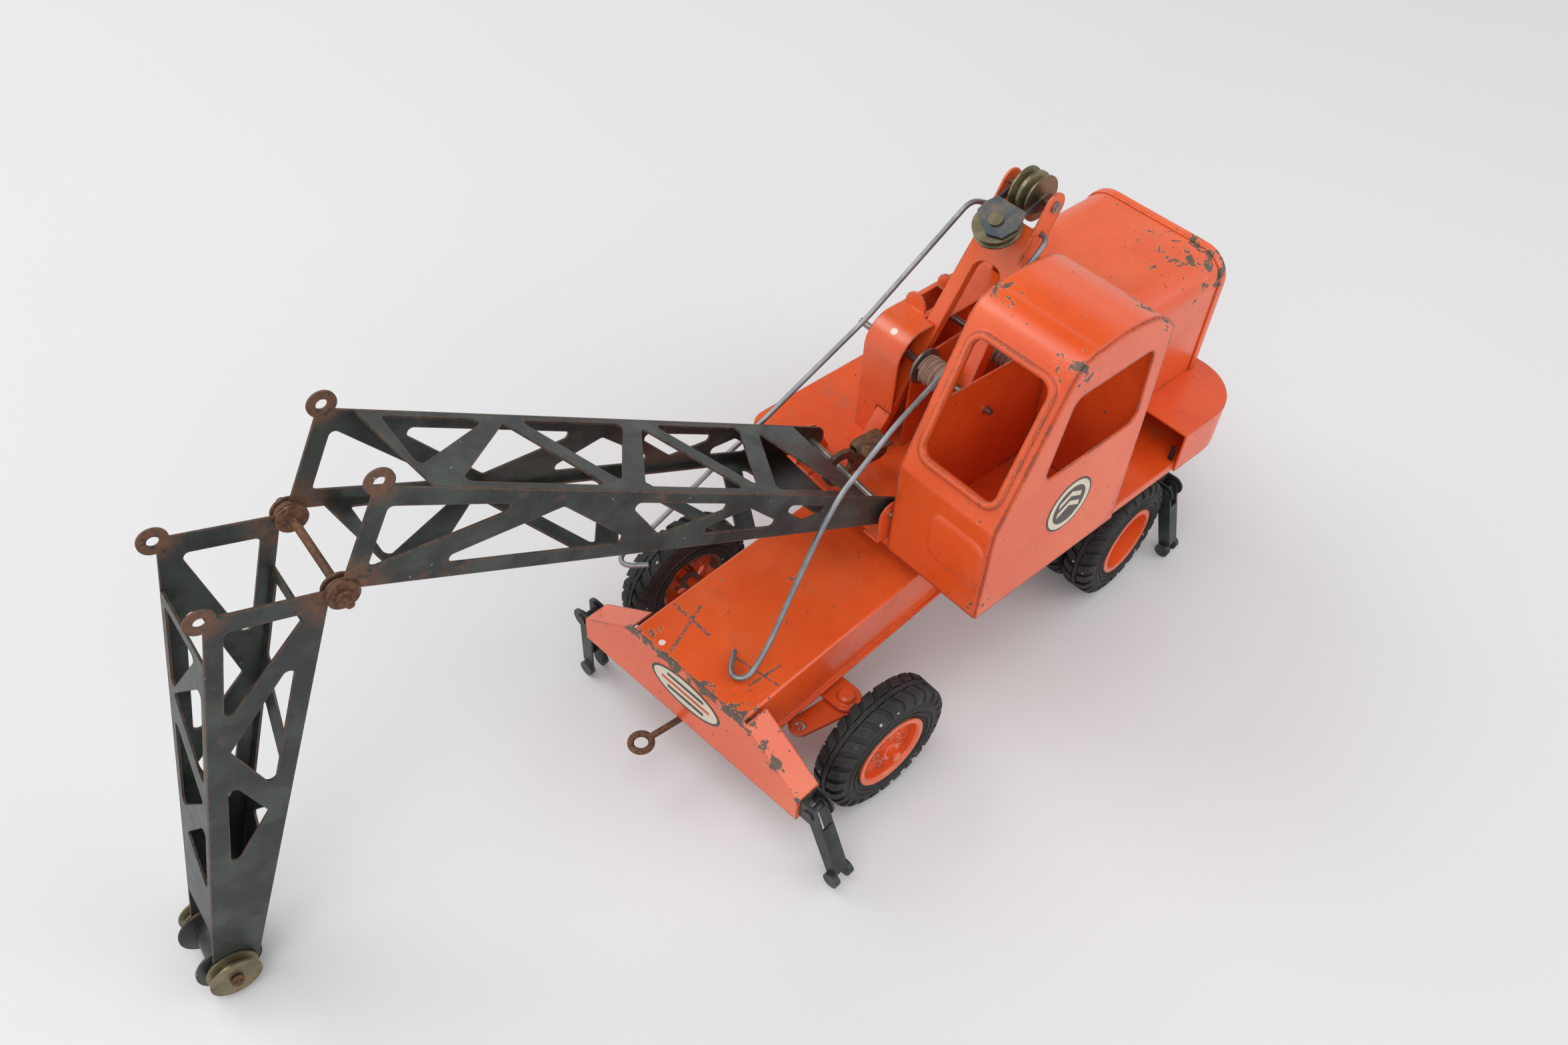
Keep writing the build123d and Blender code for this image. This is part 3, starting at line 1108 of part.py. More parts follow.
# ---------------------------------------------------------------- hook block
HOOK_Z = 5.3             # along the foot pin from the boom's centre line
HOOK_HALF = 1.2
HOOK_R = 9.6
HOOK = Plane(origin=BOOM.from_local_coords((0, 0, HOOK_Z)), x_dir=BOOM.x_dir, z_dir=BOOM.z_dir)
with BuildPart() as hook_block:
    with BuildSketch(shifted(HOOK, z=-HOOK_HALF)):
        Circle(HOOK_R)
        with Locations((-14, -3)):
            Rectangle(20, 6)
        Circle(5.4, mode=Mode.SUBTRACT)
        with Locations((9, 3)):
            Rectangle(8, 7, mode=Mode.SUBTRACT)
    extrude(amount=2 * HOOK_HALF)
    with BuildSketch(shifted(HOOK, x=-9, y=-6, z=0)):
        with Locations((-9.5, 6.5)):
            RectangleRounded(17, 12, 3)
    extrude(amount=6, both=True)
    with BuildSketch(shifted(HOOK, x=-9, y=-6, z=-8)):
        with Locations((-10.5, 5.6)):
            RectangleRounded(17, 12.2, 3)
    with BuildSketch(shifted(HOOK, x=-11, y=0, z=-8)):
        with Locations((-8.5, -0.2)):
            Rectangle(30, 9.4)
    extrude(amount=6.8, mode=Mode.SUBTRACT)
    with BuildSketch(shifted(HOOK, x=-11, y=0, z=1.3)):
        with Locations((-8.5, -0.2)):
            Rectangle(30, 9.4)
    extrude(amount=3.6, mode=Mode.SUBTRACT)
finish(hook_block, "hook_block")
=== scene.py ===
"""Looks, light and camera for the toy mobile crane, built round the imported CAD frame."""
import math

import bpy
import numpy as np
from mathutils import Matrix, Vector


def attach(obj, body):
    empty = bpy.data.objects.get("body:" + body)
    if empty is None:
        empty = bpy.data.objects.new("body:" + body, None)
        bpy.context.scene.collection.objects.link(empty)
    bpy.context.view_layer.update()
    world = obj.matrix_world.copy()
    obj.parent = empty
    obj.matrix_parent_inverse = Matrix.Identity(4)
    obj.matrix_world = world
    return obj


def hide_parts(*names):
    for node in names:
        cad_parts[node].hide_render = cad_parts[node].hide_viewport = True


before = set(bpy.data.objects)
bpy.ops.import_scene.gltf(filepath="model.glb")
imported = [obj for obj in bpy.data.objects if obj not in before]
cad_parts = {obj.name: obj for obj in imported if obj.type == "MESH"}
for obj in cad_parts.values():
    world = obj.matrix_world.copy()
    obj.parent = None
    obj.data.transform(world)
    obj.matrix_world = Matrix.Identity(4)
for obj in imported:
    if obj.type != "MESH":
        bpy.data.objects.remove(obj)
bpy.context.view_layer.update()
MM = 0.001
DRAWING_ORIGIN = Vector((7.6, 4.1, 0))   # the drawing's origin in the shared frame, in mm
rng = np.random.default_rng(7)


def place(x, y, z):
    """Point given in the CAD's drawing millimetres, in the shared frame in metres."""
    return (Vector((x, y, z)) + DRAWING_ORIGIN) * MM


# ---------------------------------------------------------------- house axes
SLEW_X = 133.3
SLEW = math.radians(-4.2)
HOUSE_X = Vector((math.cos(SLEW), math.sin(SLEW), 0))
HOUSE_Y = Vector((-math.sin(SLEW), math.cos(SLEW), 0))
UP = Vector((0, 0, 1))


def house(u, v, z):
    """Point in house millimetres (rearward, to the far side, up), in the shared frame in metres."""
    return place(SLEW_X, 0, 0) + (HOUSE_X * u + HOUSE_Y * v + UP * z) * MM


# ---------------------------------------------------------------- materials
class Shader:
    """Small helper that builds one node material; its textures lie in the object's own metres."""

    def __init__(self, name):
        self.material = bpy.data.materials.new(name)
        self.material.use_nodes = True
        self.tree = self.material.node_tree
        self.bsdf = self.tree.nodes["Principled BSDF"]
        self.coords = self.tree.nodes.new("ShaderNodeTexCoord").outputs["Object"]

    def link(self, value, socket):
        """Sets a socket from a number, colour or point, or joins it to another socket."""
        if isinstance(value, (int, float, Vector)):
            socket.default_value = value
        elif isinstance(value, tuple):
            socket.default_value = (*value, 1.0) if len(socket.default_value) == 4 else value
        else:
            self.tree.links.new(value, socket)

    def noise(self, scale, detail=4.0, rough=0.6, distort=0.0, vector=None):
        node = self.tree.nodes.new("ShaderNodeTexNoise")
        node.inputs["Scale"].default_value = scale
        node.inputs["Detail"].default_value = detail
        node.inputs["Roughness"].default_value = rough
        node.inputs["Distortion"].default_value = distort
        self.link(self.coords if vector is None else vector, node.inputs["Vector"])
        return node.outputs["Fac"]

    def stretched(self, scale, turn):
        """Texture coordinates scaled along three axes and turned."""
        node = self.tree.nodes.new("ShaderNodeMapping")
        node.inputs["Scale"].default_value = scale
        node.inputs["Rotation"].default_value = turn
        self.link(self.coords, node.inputs["Vector"])
        return node.outputs["Vector"]

    def cells(self, scale):
        """Distance from the nearest of many scattered points."""
        node = self.tree.nodes.new("ShaderNodeTexVoronoi")
        node.inputs["Scale"].default_value = scale
        self.link(self.coords, node.inputs["Vector"])
        return node.outputs["Distance"]

    def math(self, operation, a, b=0.0):
        node = self.tree.nodes.new("ShaderNodeMath")
        node.operation = operation
        self.link(a, node.inputs[0])
        self.link(b, node.inputs[1])
        return node.outputs[0]

    def vector_math(self, operation, a, b=None, output="Value"):
        node = self.tree.nodes.new("ShaderNodeVectorMath")
        node.operation = operation
        self.link(a, node.inputs[0])
        if b is not None:
            self.link(b, node.inputs[1])
        return node.outputs[output]

    def step(self, value, low, high):
        """Smooth 0 to 1 ramp between two values; swapped limits give a falling ramp."""
        node = self.tree.nodes.new("ShaderNodeMapRange")
        node.interpolation_type = "SMOOTHSTEP"
        self.link(value, node.inputs["Value"])
        node.inputs["From Min"].default_value = min(low, high)
        node.inputs["From Max"].default_value = max(low, high)
        node.inputs["To Min"].default_value = 0.0 if low < high else 1.0
        node.inputs["To Max"].default_value = 1.0 if low < high else 0.0
        return node.outputs["Result"]

    def mix(self, fac, a, b):
        """Colour between a and b."""
        node = self.tree.nodes.new("ShaderNodeMix")
        node.data_type = "RGBA"
        self.link(fac, node.inputs["Factor"])
        self.link(a, node.inputs[6])
        self.link(b, node.inputs[7])
        return node.outputs[2]

    def blend(self, fac, a, b):
        """Number between a and b."""
        node = self.tree.nodes.new("ShaderNodeMix")
        node.data_type = "FLOAT"
        self.link(fac, node.inputs["Factor"])
        self.link(a, node.inputs[2])
        self.link(b, node.inputs[3])
        return node.outputs[0]

    def edges(self, radius, low=0.02, high=0.16):
        """1 on the object's edges, 0 on its flats, from the rounded-edge normal."""
        geometry = self.tree.nodes.new("ShaderNodeNewGeometry")
        likeness = self.vector_math("DOT_PRODUCT", self.rounded(radius), geometry.outputs["Normal"])
        return self.step(self.math("SUBTRACT", 1.0, likeness), low, high)

    def rounded(self, radius):
        """Normal with the object's edges softened over a radius."""
        bevel = self.tree.nodes.new("ShaderNodeBevel")
        bevel.samples = 6
        bevel.inputs["Radius"].default_value = radius
        return bevel.outputs["Normal"]

    def near(self, centre, radius):
        """1 around a point, falling to 0 at the radius."""
        return self.step(self.vector_math("DISTANCE", self.coords, centre), radius, radius * 0.25)

    def facing(self):
        """How far a surface faces up, 0 to 1."""
        geometry = self.tree.nodes.new("ShaderNodeNewGeometry")
        split = self.tree.nodes.new("ShaderNodeSeparateXYZ")
        self.link(geometry.outputs["Normal"], split.inputs[0])
        return self.math("MAXIMUM", split.outputs["Z"], 0.0)

    def spot(self, centre, radius, rough):
        """1 within a radius of a point, with a border that is ragged by about the given distance."""
        wobble = self.math("MULTIPLY", self.math("SUBTRACT", self.noise(700.0, 3.0), 0.5), rough)
        distance = self.math("ADD", self.vector_math("DISTANCE", self.coords, centre), wobble)
        return self.step(distance, radius * 1.08, radius * 0.92)

    def scratch(self, start, end, width):
        """1 on a straight scratch between two points."""
        fade = 0.0008
        run = end - start
        offset = self.vector_math("SUBTRACT", self.coords, start, "Vector")
        along = self.vector_math("DOT_PRODUCT", offset, run.normalized())
        reach = self.math("POWER", self.vector_math("LENGTH", offset), 2.0)
        across = self.math("SUBTRACT", reach, self.math("POWER", along, 2.0))
        across = self.math("SQRT", self.math("MAXIMUM", across, 0.0))
        begun = self.step(along, 0.0, fade)
        ended = self.step(along, run.length, run.length - fade)
        line = self.step(across, width, width * 0.6)
        return self.math("MULTIPLY", line, self.math("MULTIPLY", begun, ended))

    def bump(self, height, strength, distance, normal=None):
        node = self.tree.nodes.new("ShaderNodeBump")
        node.inputs["Strength"].default_value = strength
        node.inputs["Distance"].default_value = distance
        self.link(height, node.inputs["Height"])
        if normal is not None:
            self.link(normal, node.inputs["Normal"])
        return node.outputs["Normal"]

    def finish(self, color, roughness, metallic, normal, **constants):
        """Joins the surface's inputs and returns the material; underscores in a name stand for spaces."""
        self.link(color, self.bsdf.inputs["Base Color"])
        self.link(roughness, self.bsdf.inputs["Roughness"])
        self.link(metallic, self.bsdf.inputs["Metallic"])
        self.link(normal, self.bsdf.inputs["Normal"])
        for socket, value in constants.items():
            self.bsdf.inputs[socket.replace("_", " ")].default_value = value
        return self.material


ORANGE = (0.72, 0.082, 0.011)
ORANGE_LIGHT = (0.80, 0.120, 0.024)
ORANGE_DEEP = (0.55, 0.050, 0.008)
PRIMER = (0.165, 0.085, 0.055)
BARE = (0.095, 0.078, 0.066)
BLOOM = (0.36, 0.13, 0.065)
BRIGHT_METAL = (0.62, 0.55, 0.47)
PALE_CHIP_RIM = (0.86, 0.38, 0.18)
PALE_HAIRLINE = (0.88, 0.42, 0.25)
PALE_DOT = (0.78, 0.66, 0.55)
DECAL_CREAM = (0.74, 0.66, 0.52)


def orange_paint(name, wear, grime, scratches=(), dots=(), bald=(), soft=0.0012, bare=0.15):
    """Worn orange enamel: chips on the edges and flats, fine pits, brown bloom, and given scratches and dots.

    Around each (centre, radius) in bald the paint has come off in patches, the more the higher bare is.
    The edges look rounded over the distance soft.
    """
    s = Shader(name)
    patches = s.noise(14.0, 5.0)
    color = s.mix(s.step(patches, 0.35, 0.68), ORANGE, ORANGE_LIGHT)
    color = s.mix(s.math("MULTIPLY", s.step(s.noise(46.0, 6.0, 0.7), 0.55, 0.80), 0.55), color, ORANGE_DEEP)
    # brown bloom where the surface looks up
    haze = s.math("MULTIPLY", s.step(s.noise(30.0, 7.0, 0.75), 0.50, 0.78), grime)
    haze = s.math("MULTIPLY", haze, s.facing())
    color = s.mix(haze, color, BLOOM)
    ragged = s.noise(520.0, 5.0, 0.72)
    broad = s.noise(60.0, 4.0, 0.6)
    edge = s.edges(0.0016)
    broken = s.math("ADD", s.math("MULTIPLY", ragged, 0.55), s.math("MULTIPLY", broad, 0.45))
    edge_chip = s.math("MULTIPLY", edge, s.step(broken, 0.575 - 0.060 * wear, 0.630 - 0.060 * wear))
    # loose chips in the flats
    flaking = s.noise(120.0, 6.0, 0.68, 0.4)
    for centre, radius in bald:
        flaking = s.math("ADD", flaking, s.math("MULTIPLY", s.near(centre, radius), bare))
    patch = s.step(flaking, 0.712 - 0.018 * wear, 0.726 - 0.018 * wear)
    pits = s.step(s.cells(210.0), 0.115, 0.085)
    pits = s.math("MULTIPLY", pits, s.step(s.noise(38.0, 3.0), 0.47, 0.55))
    chip = s.math("MAXIMUM", s.math("MAXIMUM", edge_chip, patch), pits)
    light = s.math("MULTIPLY", s.step(s.noise(900.0, 3.0), 0.60, 0.66), edge_chip)
    for start, end, width in scratches:
        line = s.math("MULTIPLY", s.scratch(start, end, width), s.step(ragged, 0.38, 0.52))
        chip = s.math("MAXIMUM", chip, line)
    metal = s.mix(s.step(s.noise(260.0, 4.0), 0.40, 0.62), BARE, PRIMER)
    metal = s.mix(light, metal, BRIGHT_METAL)
    color = s.mix(chip, color, metal)
    rim = s.math("SUBTRACT", s.step(flaking, 0.696 - 0.018 * wear, 0.712 - 0.018 * wear), patch)
    color = s.mix(s.math("MULTIPLY", rim, 0.35), color, PALE_CHIP_RIM)
    for centre, radius in dots:
        color = s.mix(s.spot(centre, radius, 0.0012), color, PALE_DOT)
    # fine pale hairlines
    hair = s.noise(1.0, 2.0, 0.5, vector=s.stretched((26.0, 900.0, 420.0), (0.3, 0.2, 0.5)))
    hairline = s.math("MULTIPLY", s.step(hair, 0.735, 0.76), 0.35)
    color = s.mix(hairline, color, PALE_HAIRLINE)
    rough = s.blend(chip, s.blend(s.noise(90.0, 5.0), 0.20, 0.36), 0.62)
    height = s.math("ADD", s.math("MULTIPLY", chip, -0.6), s.math("MULTIPLY", s.noise(240.0, 2.0), 0.10))
    normal = s.bump(height, 0.28, 0.0003, s.rounded(soft))
    return s.finish(color, rough, s.math("MULTIPLY", chip, 0.25), normal, Specular_IOR_Level=0.85)


def black_paint(name, rust, green, rusted=()):
    """Thin black finish going brown at the edges, in blotches and around each (centre, radius) in rusted."""
    s = Shader(name)
    worn_black = (0.052, 0.060 + 0.006 * green, 0.058)
    base = s.mix(s.step(s.noise(60.0, 5.0), 0.35, 0.70), (0.022, 0.025, 0.026), worn_black)
    edge = s.edges(0.0012, 0.01, 0.14)
    breakup = s.noise(330.0, 6.0, 0.75)
    rusty = s.math("MULTIPLY", edge, s.step(breakup, 0.56 - 0.10 * rust, 0.68 - 0.08 * rust))
    blotch = s.math("MULTIPLY", s.noise(52.0, 6.0, 0.72), 0.7)
    blotch = s.math("ADD", blotch, s.math("MULTIPLY", breakup, 0.3))
    blotch = s.step(blotch, 0.60 - 0.03 * rust, 0.70)
    rusty = s.math("MAXIMUM", rusty, s.math("MULTIPLY", blotch, 0.75))
    for centre, radius in rusted:
        patch = s.math("MULTIPLY", s.near(centre, radius), s.step(breakup, 0.36, 0.50))
        rusty = s.math("MAXIMUM", rusty, patch)
    brown = s.mix(s.noise(420.0, 5.0), (0.070, 0.031, 0.019), (0.21, 0.098, 0.052))
    color = s.mix(rusty, base, brown)
    speck = s.math("MULTIPLY", s.step(s.cells(260.0), 0.12, 0.07), s.step(s.noise(40.0), 0.56, 0.62))
    color = s.mix(s.math("MULTIPLY", speck, 0.7), color, (0.42, 0.39, 0.34))
    rough = s.blend(rusty, s.blend(s.noise(140.0, 5.0), 0.30, 0.50), 0.78)
    height = s.math("ADD", s.math("MULTIPLY", breakup, 0.5), s.math("MULTIPLY", rusty, 0.4))
    normal = s.bump(height, 0.30, 0.0003)
    return s.finish(color, rough, s.blend(rusty, 0.35, 0.05), normal)


def rusty_steel(name, dark):
    """Steel under a skin of brown rust, with worn bright places on its edges."""
    s = Shader(name)
    fine = s.noise(420.0, 6.0, 0.75)
    broad = s.noise(70.0, 5.0, 0.65)
    color = s.mix(s.step(fine, 0.35, 0.66), (0.075, 0.030, 0.016), (0.22, 0.105, 0.052))
    color = s.mix(s.math("MULTIPLY", s.step(broad, 0.42, 0.62), dark), color, (0.040, 0.034, 0.032))
    worn = s.math("MULTIPLY", s.edges(0.0009, 0.03, 0.2), s.step(fine, 0.55, 0.66))
    color = s.mix(s.math("MULTIPLY", worn, 0.6), color, (0.40, 0.34, 0.29))
    rough = s.blend(worn, s.blend(fine, 0.62, 0.85), 0.4)
    return s.finish(color, rough, s.blend(worn, 0.25, 0.8), s.bump(fine, 0.45, 0.0004))


def steel(name, color_a, color_b, rust, rough=(0.32, 0.50)):
    """Bare metal with dull patches and some rust; rough is the range of its roughness."""
    s = Shader(name)
    fine = s.noise(300.0, 6.0, 0.7)
    broad = s.noise(80.0, 5.0, 0.65)
    color = s.mix(s.step(broad, 0.35, 0.65), color_a, color_b)
    spots = s.math("ADD", s.math("MULTIPLY", fine, 0.45), s.math("MULTIPLY", broad, 0.55))
    spots = s.step(spots, 0.66 - 0.18 * rust, 0.72 - 0.12 * rust)
    color = s.mix(s.math("MULTIPLY", spots, 0.85), color, (0.20, 0.095, 0.045))
    roughness = s.blend(spots, s.blend(fine, rough[0], rough[1]), 0.8)
    return s.finish(color, roughness, s.blend(spots, 0.85, 0.2), s.bump(fine, 0.18, 0.0002))


def rubber(name):
    """Black rubber with grey dust in patches, scuffed edges and a few pale stones."""
    s = Shader(name)
    fine = s.noise(600.0, 6.0, 0.75)
    broad = s.noise(55.0, 5.0, 0.6)
    color = s.mix(s.step(broad, 0.35, 0.70), (0.010, 0.010, 0.010), (0.028, 0.027, 0.026))
    grit = s.math("MULTIPLY", s.step(fine, 0.60, 0.70), s.step(broad, 0.40, 0.60))
    color = s.mix(s.math("MULTIPLY", grit, 0.65), color, (0.22, 0.19, 0.16))
    worn = s.math("MULTIPLY", s.edges(0.0008, 0.02, 0.2), 0.35)
    color = s.mix(worn, color, (0.11, 0.105, 0.10))
    stones = s.math("MULTIPLY", s.step(s.cells(150.0), 0.135, 0.10), s.step(s.noise(30.0, 3.0), 0.52, 0.56))
    color = s.mix(s.math("MULTIPLY", stones, 0.8), color, (0.52, 0.46, 0.38))
    normal = s.bump(fine, 0.28, 0.0003)
    return s.finish(color, s.blend(s.noise(120.0), 0.50, 0.78), 0.0, normal, Specular_IOR_Level=0.4)


def cotton(name):
    """Old brown-pink cotton string."""
    s = Shader(name)
    fine = s.noise(1500.0, 4.0, 0.7)
    color = s.mix(fine, (0.20, 0.115, 0.085), (0.50, 0.33, 0.255))
    color = s.mix(s.math("MULTIPLY", s.step(s.noise(110.0), 0.50, 0.72), 0.5), color, (0.16, 0.09, 0.06))
    return s.finish(color, 0.92, 0.0, s.bump(fine, 0.6, 0.0004), Sheen_Weight=0.15)


def printed(name, ink):
    """Aged decal in one ink, rubbed through to the paint in places."""
    s = Shader(name)
    rubbed = s.step(s.noise(330.0, 6.0, 0.72), 0.60, 0.68)
    color = s.mix(s.noise(60.0, 4.0), ink, tuple(0.82 * c for c in ink))
    under = tuple(0.5 * (a + b) for a, b in zip(DECAL_CREAM, ORANGE))
    color = s.mix(s.math("MULTIPLY", rubbed, 0.55), color, under)
    return s.finish(color, s.blend(rubbed, 0.38, 0.6), 0.0, s.bump(rubbed, 0.2, 0.0002))


def floor_material():
    """Near-white paper."""
    s = Shader("floor_paper")
    color = s.mix(s.noise(3.0, 3.0), (0.715, 0.713, 0.722), (0.735, 0.733, 0.742))
    return s.finish(color, 0.72, 0.0, s.bump(s.noise(180.0, 4.0), 0.05, 0.0004), Specular_IOR_Level=0.25)


# where the paint is marked; a mark's radius or width is in metres
DECK_TOP = 71.4
# start, end and width
DECK_SCRATCHES = (
    (place(-35, 31, DECK_TOP), place(-36, 7, DECK_TOP), 0.0010),
    (place(-27, 22, DECK_TOP), place(-54, 12.7, DECK_TOP), 0.0009),
    (place(-43, -22.6, DECK_TOP), place(-25, -24.4, DECK_TOP), 0.0008),
    (place(-36.5, -7.4, DECK_TOP), place(-33.5, -31.8, DECK_TOP), 0.0007),
)
# centre and radius
DECK_DOTS = ((place(-53.1, 18.8, DECK_TOP), 0.0015),)
COVER_DOTS = ((house(-34, 30.6, 146.3), 0.0019),)
DECK_FRONT_EDGE = [(place(-58, y, DECK_TOP), 0.017) for y in (-52, -33, -14, 5, 24, 43)]
HOOD_REAR_TOP = ((house(86, -24, 168), 0.040), (house(102, -42, 162), 0.026))
CAB_CORNERS = ((house(-52, -72, 200), 0.016), (house(2, -70, 202), 0.018), (house(-81, -75, 90), 0.012),
               (house(-40, -30, 206), 0.012))
FAR_HUB = ((place(0, 36, 33), 0.040),)
# points on the bumper's upper fold, then down its slope on each side: y and z
BUMPER_FOLD_AT = [(y, 71) for y in range(-34, 37, 7)]
BUMPER_FOLD_AT += [(-42, 67), (-49, 62), (-56, 57), (-63, 52), (44, 67), (52, 61)]
BUMPER_FOLD = [(place(-57, y, z), 0.009) for y, z in BUMPER_FOLD_AT]
# the eyes at the boom sections' ends, then the knee
BOOM_EYES = ((place(-154.5, 27.3, 233.1), 0.011), (place(-148.0, 67.9, 233.1), 0.011),
             (place(-213.8, 38.1, 208.0), 0.011), (place(-207.7, 76.1, 208.0), 0.011),
             (place(-173.8, 31.0, 195.3), 0.020), (place(-167.4, 70.4, 195.3), 0.020))
MATERIALS = {
    "deck": orange_paint("enamel_deck", 1.2, 0.35, DECK_SCRATCHES, DECK_DOTS, DECK_FRONT_EDGE),
    "bumper": orange_paint("enamel_bumper", 1.7, 0.35, bald=BUMPER_FOLD),
    "body": orange_paint("enamel_body", 1.2, 0.25, bald=HOOD_REAR_TOP, bare=0.12),
    "cab": orange_paint("enamel_cab", 1.7, 0.25, bald=CAB_CORNERS, soft=0.0030),
    "platform": orange_paint("enamel_platform", 1.1, 1.0),
    "cover": orange_paint("enamel_cover", 1.1, 0.45, dots=COVER_DOTS),
    "hub": orange_paint("enamel_hub", 1.5, 0.9),
    "hub_far": orange_paint("enamel_hub_far", 1.5, 0.9, bald=FAR_HUB, bare=0.6),
    "black": black_paint("black_finish", 1.0, 0.5),
    "boom": black_paint("boom_finish", 1.6, 1.0, BOOM_EYES),
    "leg": black_paint("outrigger_finish", 0.3, 0.0),
    "rust": rusty_steel("rusty_steel", 0.5),
    "rust_dark": rusty_steel("dark_rusty_steel", 0.9),
    "wire": steel("grey_wire", (0.20, 0.21, 0.225), (0.30, 0.31, 0.33), 0.05, (0.36, 0.50)),
    "axle": steel("dull_steel", (0.36, 0.34, 0.31), (0.22, 0.20, 0.18), 0.55),
    "brass": steel("tarnished_brass", (0.13, 0.12, 0.075), (0.26, 0.22, 0.13), 0.60),
    "blued": steel("blued_steel", (0.075, 0.095, 0.115), (0.18, 0.155, 0.13), 0.80),
    "rubber": rubber("tyre_rubber"),
    "string": cotton("cotton_string"),
    "badge_ground": printed("decal_cream", DECAL_CREAM),
    "badge_dark": printed("decal_black", (0.045, 0.040, 0.038)),
    "badge_red": printed("decal_red", (0.60, 0.085, 0.03)),
}
NODE_MATERIALS = {
    "deck": ("chassis_deck",),
    "bumper": ("front_bumper", "rear_bumper"),
    "body": ("engine_hood", "hood_rear_cover", "counterweight_skirt", "gantry_frame", "drum_frame"),
    "cab": ("cab_shell", "cab_side_panel"),
    "platform": ("platform", "boom_foot_bracket"),
    "cover": ("machinery_cover",),
    "hub": ("front_rim_near", "rear_rim_near", "rear_rim_far", "tie_rod", "knuckle_near", "knuckle_far",
            "front_axle_beam"),
    "hub_far": ("front_rim_far",),
    "black": ("turntable_ring", "rear_axle_hanger", "tip_spool"),
    "boom": ("boom_base_near", "boom_base_far", "boom_base_top", "boom_base_bottom", "boom_outer_near",
             "boom_outer_far", "boom_outer_back", "boom_outer_front"),
    "leg": ("outrigger_brackets", "outrigger_leg_front_near", "outrigger_leg_front_far",
            "outrigger_leg_rear_near", "outrigger_leg_rear_far"),
    "rust": ("knee_pin", "drawbar"),
    "rust_dark": ("hook_block", "tip_axle"),
    "wire": ("pendant_near", "pendant_far"),
    "axle": ("boom_foot_pin", "rear_axle", "gantry_axle", "hoist_drum", "boom_drum"),
    "brass": ("upper_sheave", "lower_sheave", "tip_sheaves"),
    "blued": ("head_bracket",),
}
for key, names in NODE_MATERIALS.items():
    for node_name in names:
        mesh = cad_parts[node_name].data
        mesh.materials.clear()
        mesh.materials.append(MATERIALS[key])


# ---------------------------------------------------------------- mesh helpers
SHARP_ANGLE = math.radians(38)


def make_object(name, vertices, faces, material, smooth=True, body=None):
    """Mesh object from points in metres, smooth except over sharp edges unless smooth is off."""
    mesh = bpy.data.meshes.new(name)
    mesh.from_pydata([tuple(v) for v in vertices], [], faces)
    mesh.validate()
    mesh.materials.append(MATERIALS[material])
    obj = bpy.data.objects.new(name, mesh)
    bpy.context.scene.collection.objects.link(obj)
    if smooth:
        mesh.shade_smooth()
        mesh.set_sharp_from_angle(angle=SHARP_ANGLE)
    if body:
        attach(obj, body)
    return obj


def ring_faces(rings, around, closed_path=False):
    """Quads between successive rings of points; a closed path also joins the last ring to the first."""
    faces = []
    last = rings if closed_path else rings - 1
    for i in range(last):
        j = (i + 1) % rings
        for k in range(around):
            n = (k + 1) % around
            faces.append((i * around + k, i * around + n, j * around + n, j * around + k))
    return faces


def tube(points, radius, around=8):
    """Round tube along a list of points, with its ends closed."""
    points = [Vector(p) for p in points]
    vertices = []
    side = None
    for i, p in enumerate(points):
        ahead = (points[min(i + 1, len(points) - 1)] - points[max(i - 1, 0)]).normalized()
        if side is None:
            side = ahead.orthogonal().normalized()
        side = (side - ahead * side.dot(ahead)).normalized()
        other = ahead.cross(side)
        for k in range(around):
            a = 2 * math.pi * k / around
            vertices.append(p + (side * math.cos(a) + other * math.sin(a)) * radius)
    faces = ring_faces(len(points), around)
    faces.append(tuple(reversed(range(around))))
    faces.append(tuple(range((len(points) - 1) * around, len(points) * around)))
    return vertices, faces


def merge(parts):
    """Joins (vertices, faces) pairs into one."""
    vertices, faces = [], []
    for part_vertices, part_faces in parts:
        base = len(vertices)
        vertices += list(part_vertices)
        faces += [tuple(i + base for i in face) for face in part_faces]
    return vertices, faces


def lathe(profile, around, centre, axis):
    """Solid of revolution; the profile is a closed loop of (radius, distance along the axis) in mm."""
    axis = axis.normalized()
    radial = axis.orthogonal().normalized()
    other = axis.cross(radial)
    vertices = []
    for k in range(around):
        a = 2 * math.pi * k / around
        out = radial * math.cos(a) + other * math.sin(a)
        vertices += [centre + (out * r + axis * h) * MM for r, h in profile]
    return vertices, ring_faces(around, len(profile), True)


# ---------------------------------------------------------------- tyres
TYRE_R = 33.0
TURNED_POINTS = 96
# half section of the carcass under the tread: radius, distance from the middle plane
CARCASS = ((31.5, 0.0), (31.5, 4.8), (30.4, 6.6), (28.6, 7.5), (25.6, 8.2), (22.4, 8.1), (20.6, 7.5),
           (19.4, 7.0), (17.45, 7.0))
CENTRE_RIB = ((31.2, -1.1), (TYRE_R, -0.9), (TYRE_R, 0.9), (31.2, 1.1))
SIDEWALL_RINGS = (24.9, 22.0)
RING_FOOT = 7.4
RING_TOP = 8.75
LUGS = 26
LUG_DEPTH = 2.4
LUG_HALF = 0.29           # half a lug's length in fractions of a pitch
SHOULDER = 7.0            # distance from the middle plane past which a lug's inner points are tucked in
SHOULDER_TUCK = 0.9
# stations of a tread lug: radius, distance from the middle plane, forward sweep in fractions of a pitch
LUG = ((TYRE_R, 1.7, 0.30), (TYRE_R, 5.2, 0.05), (32.2, 6.9, -0.05), (29.6, 8.15, -0.08), (28.4, 8.3, -0.08))


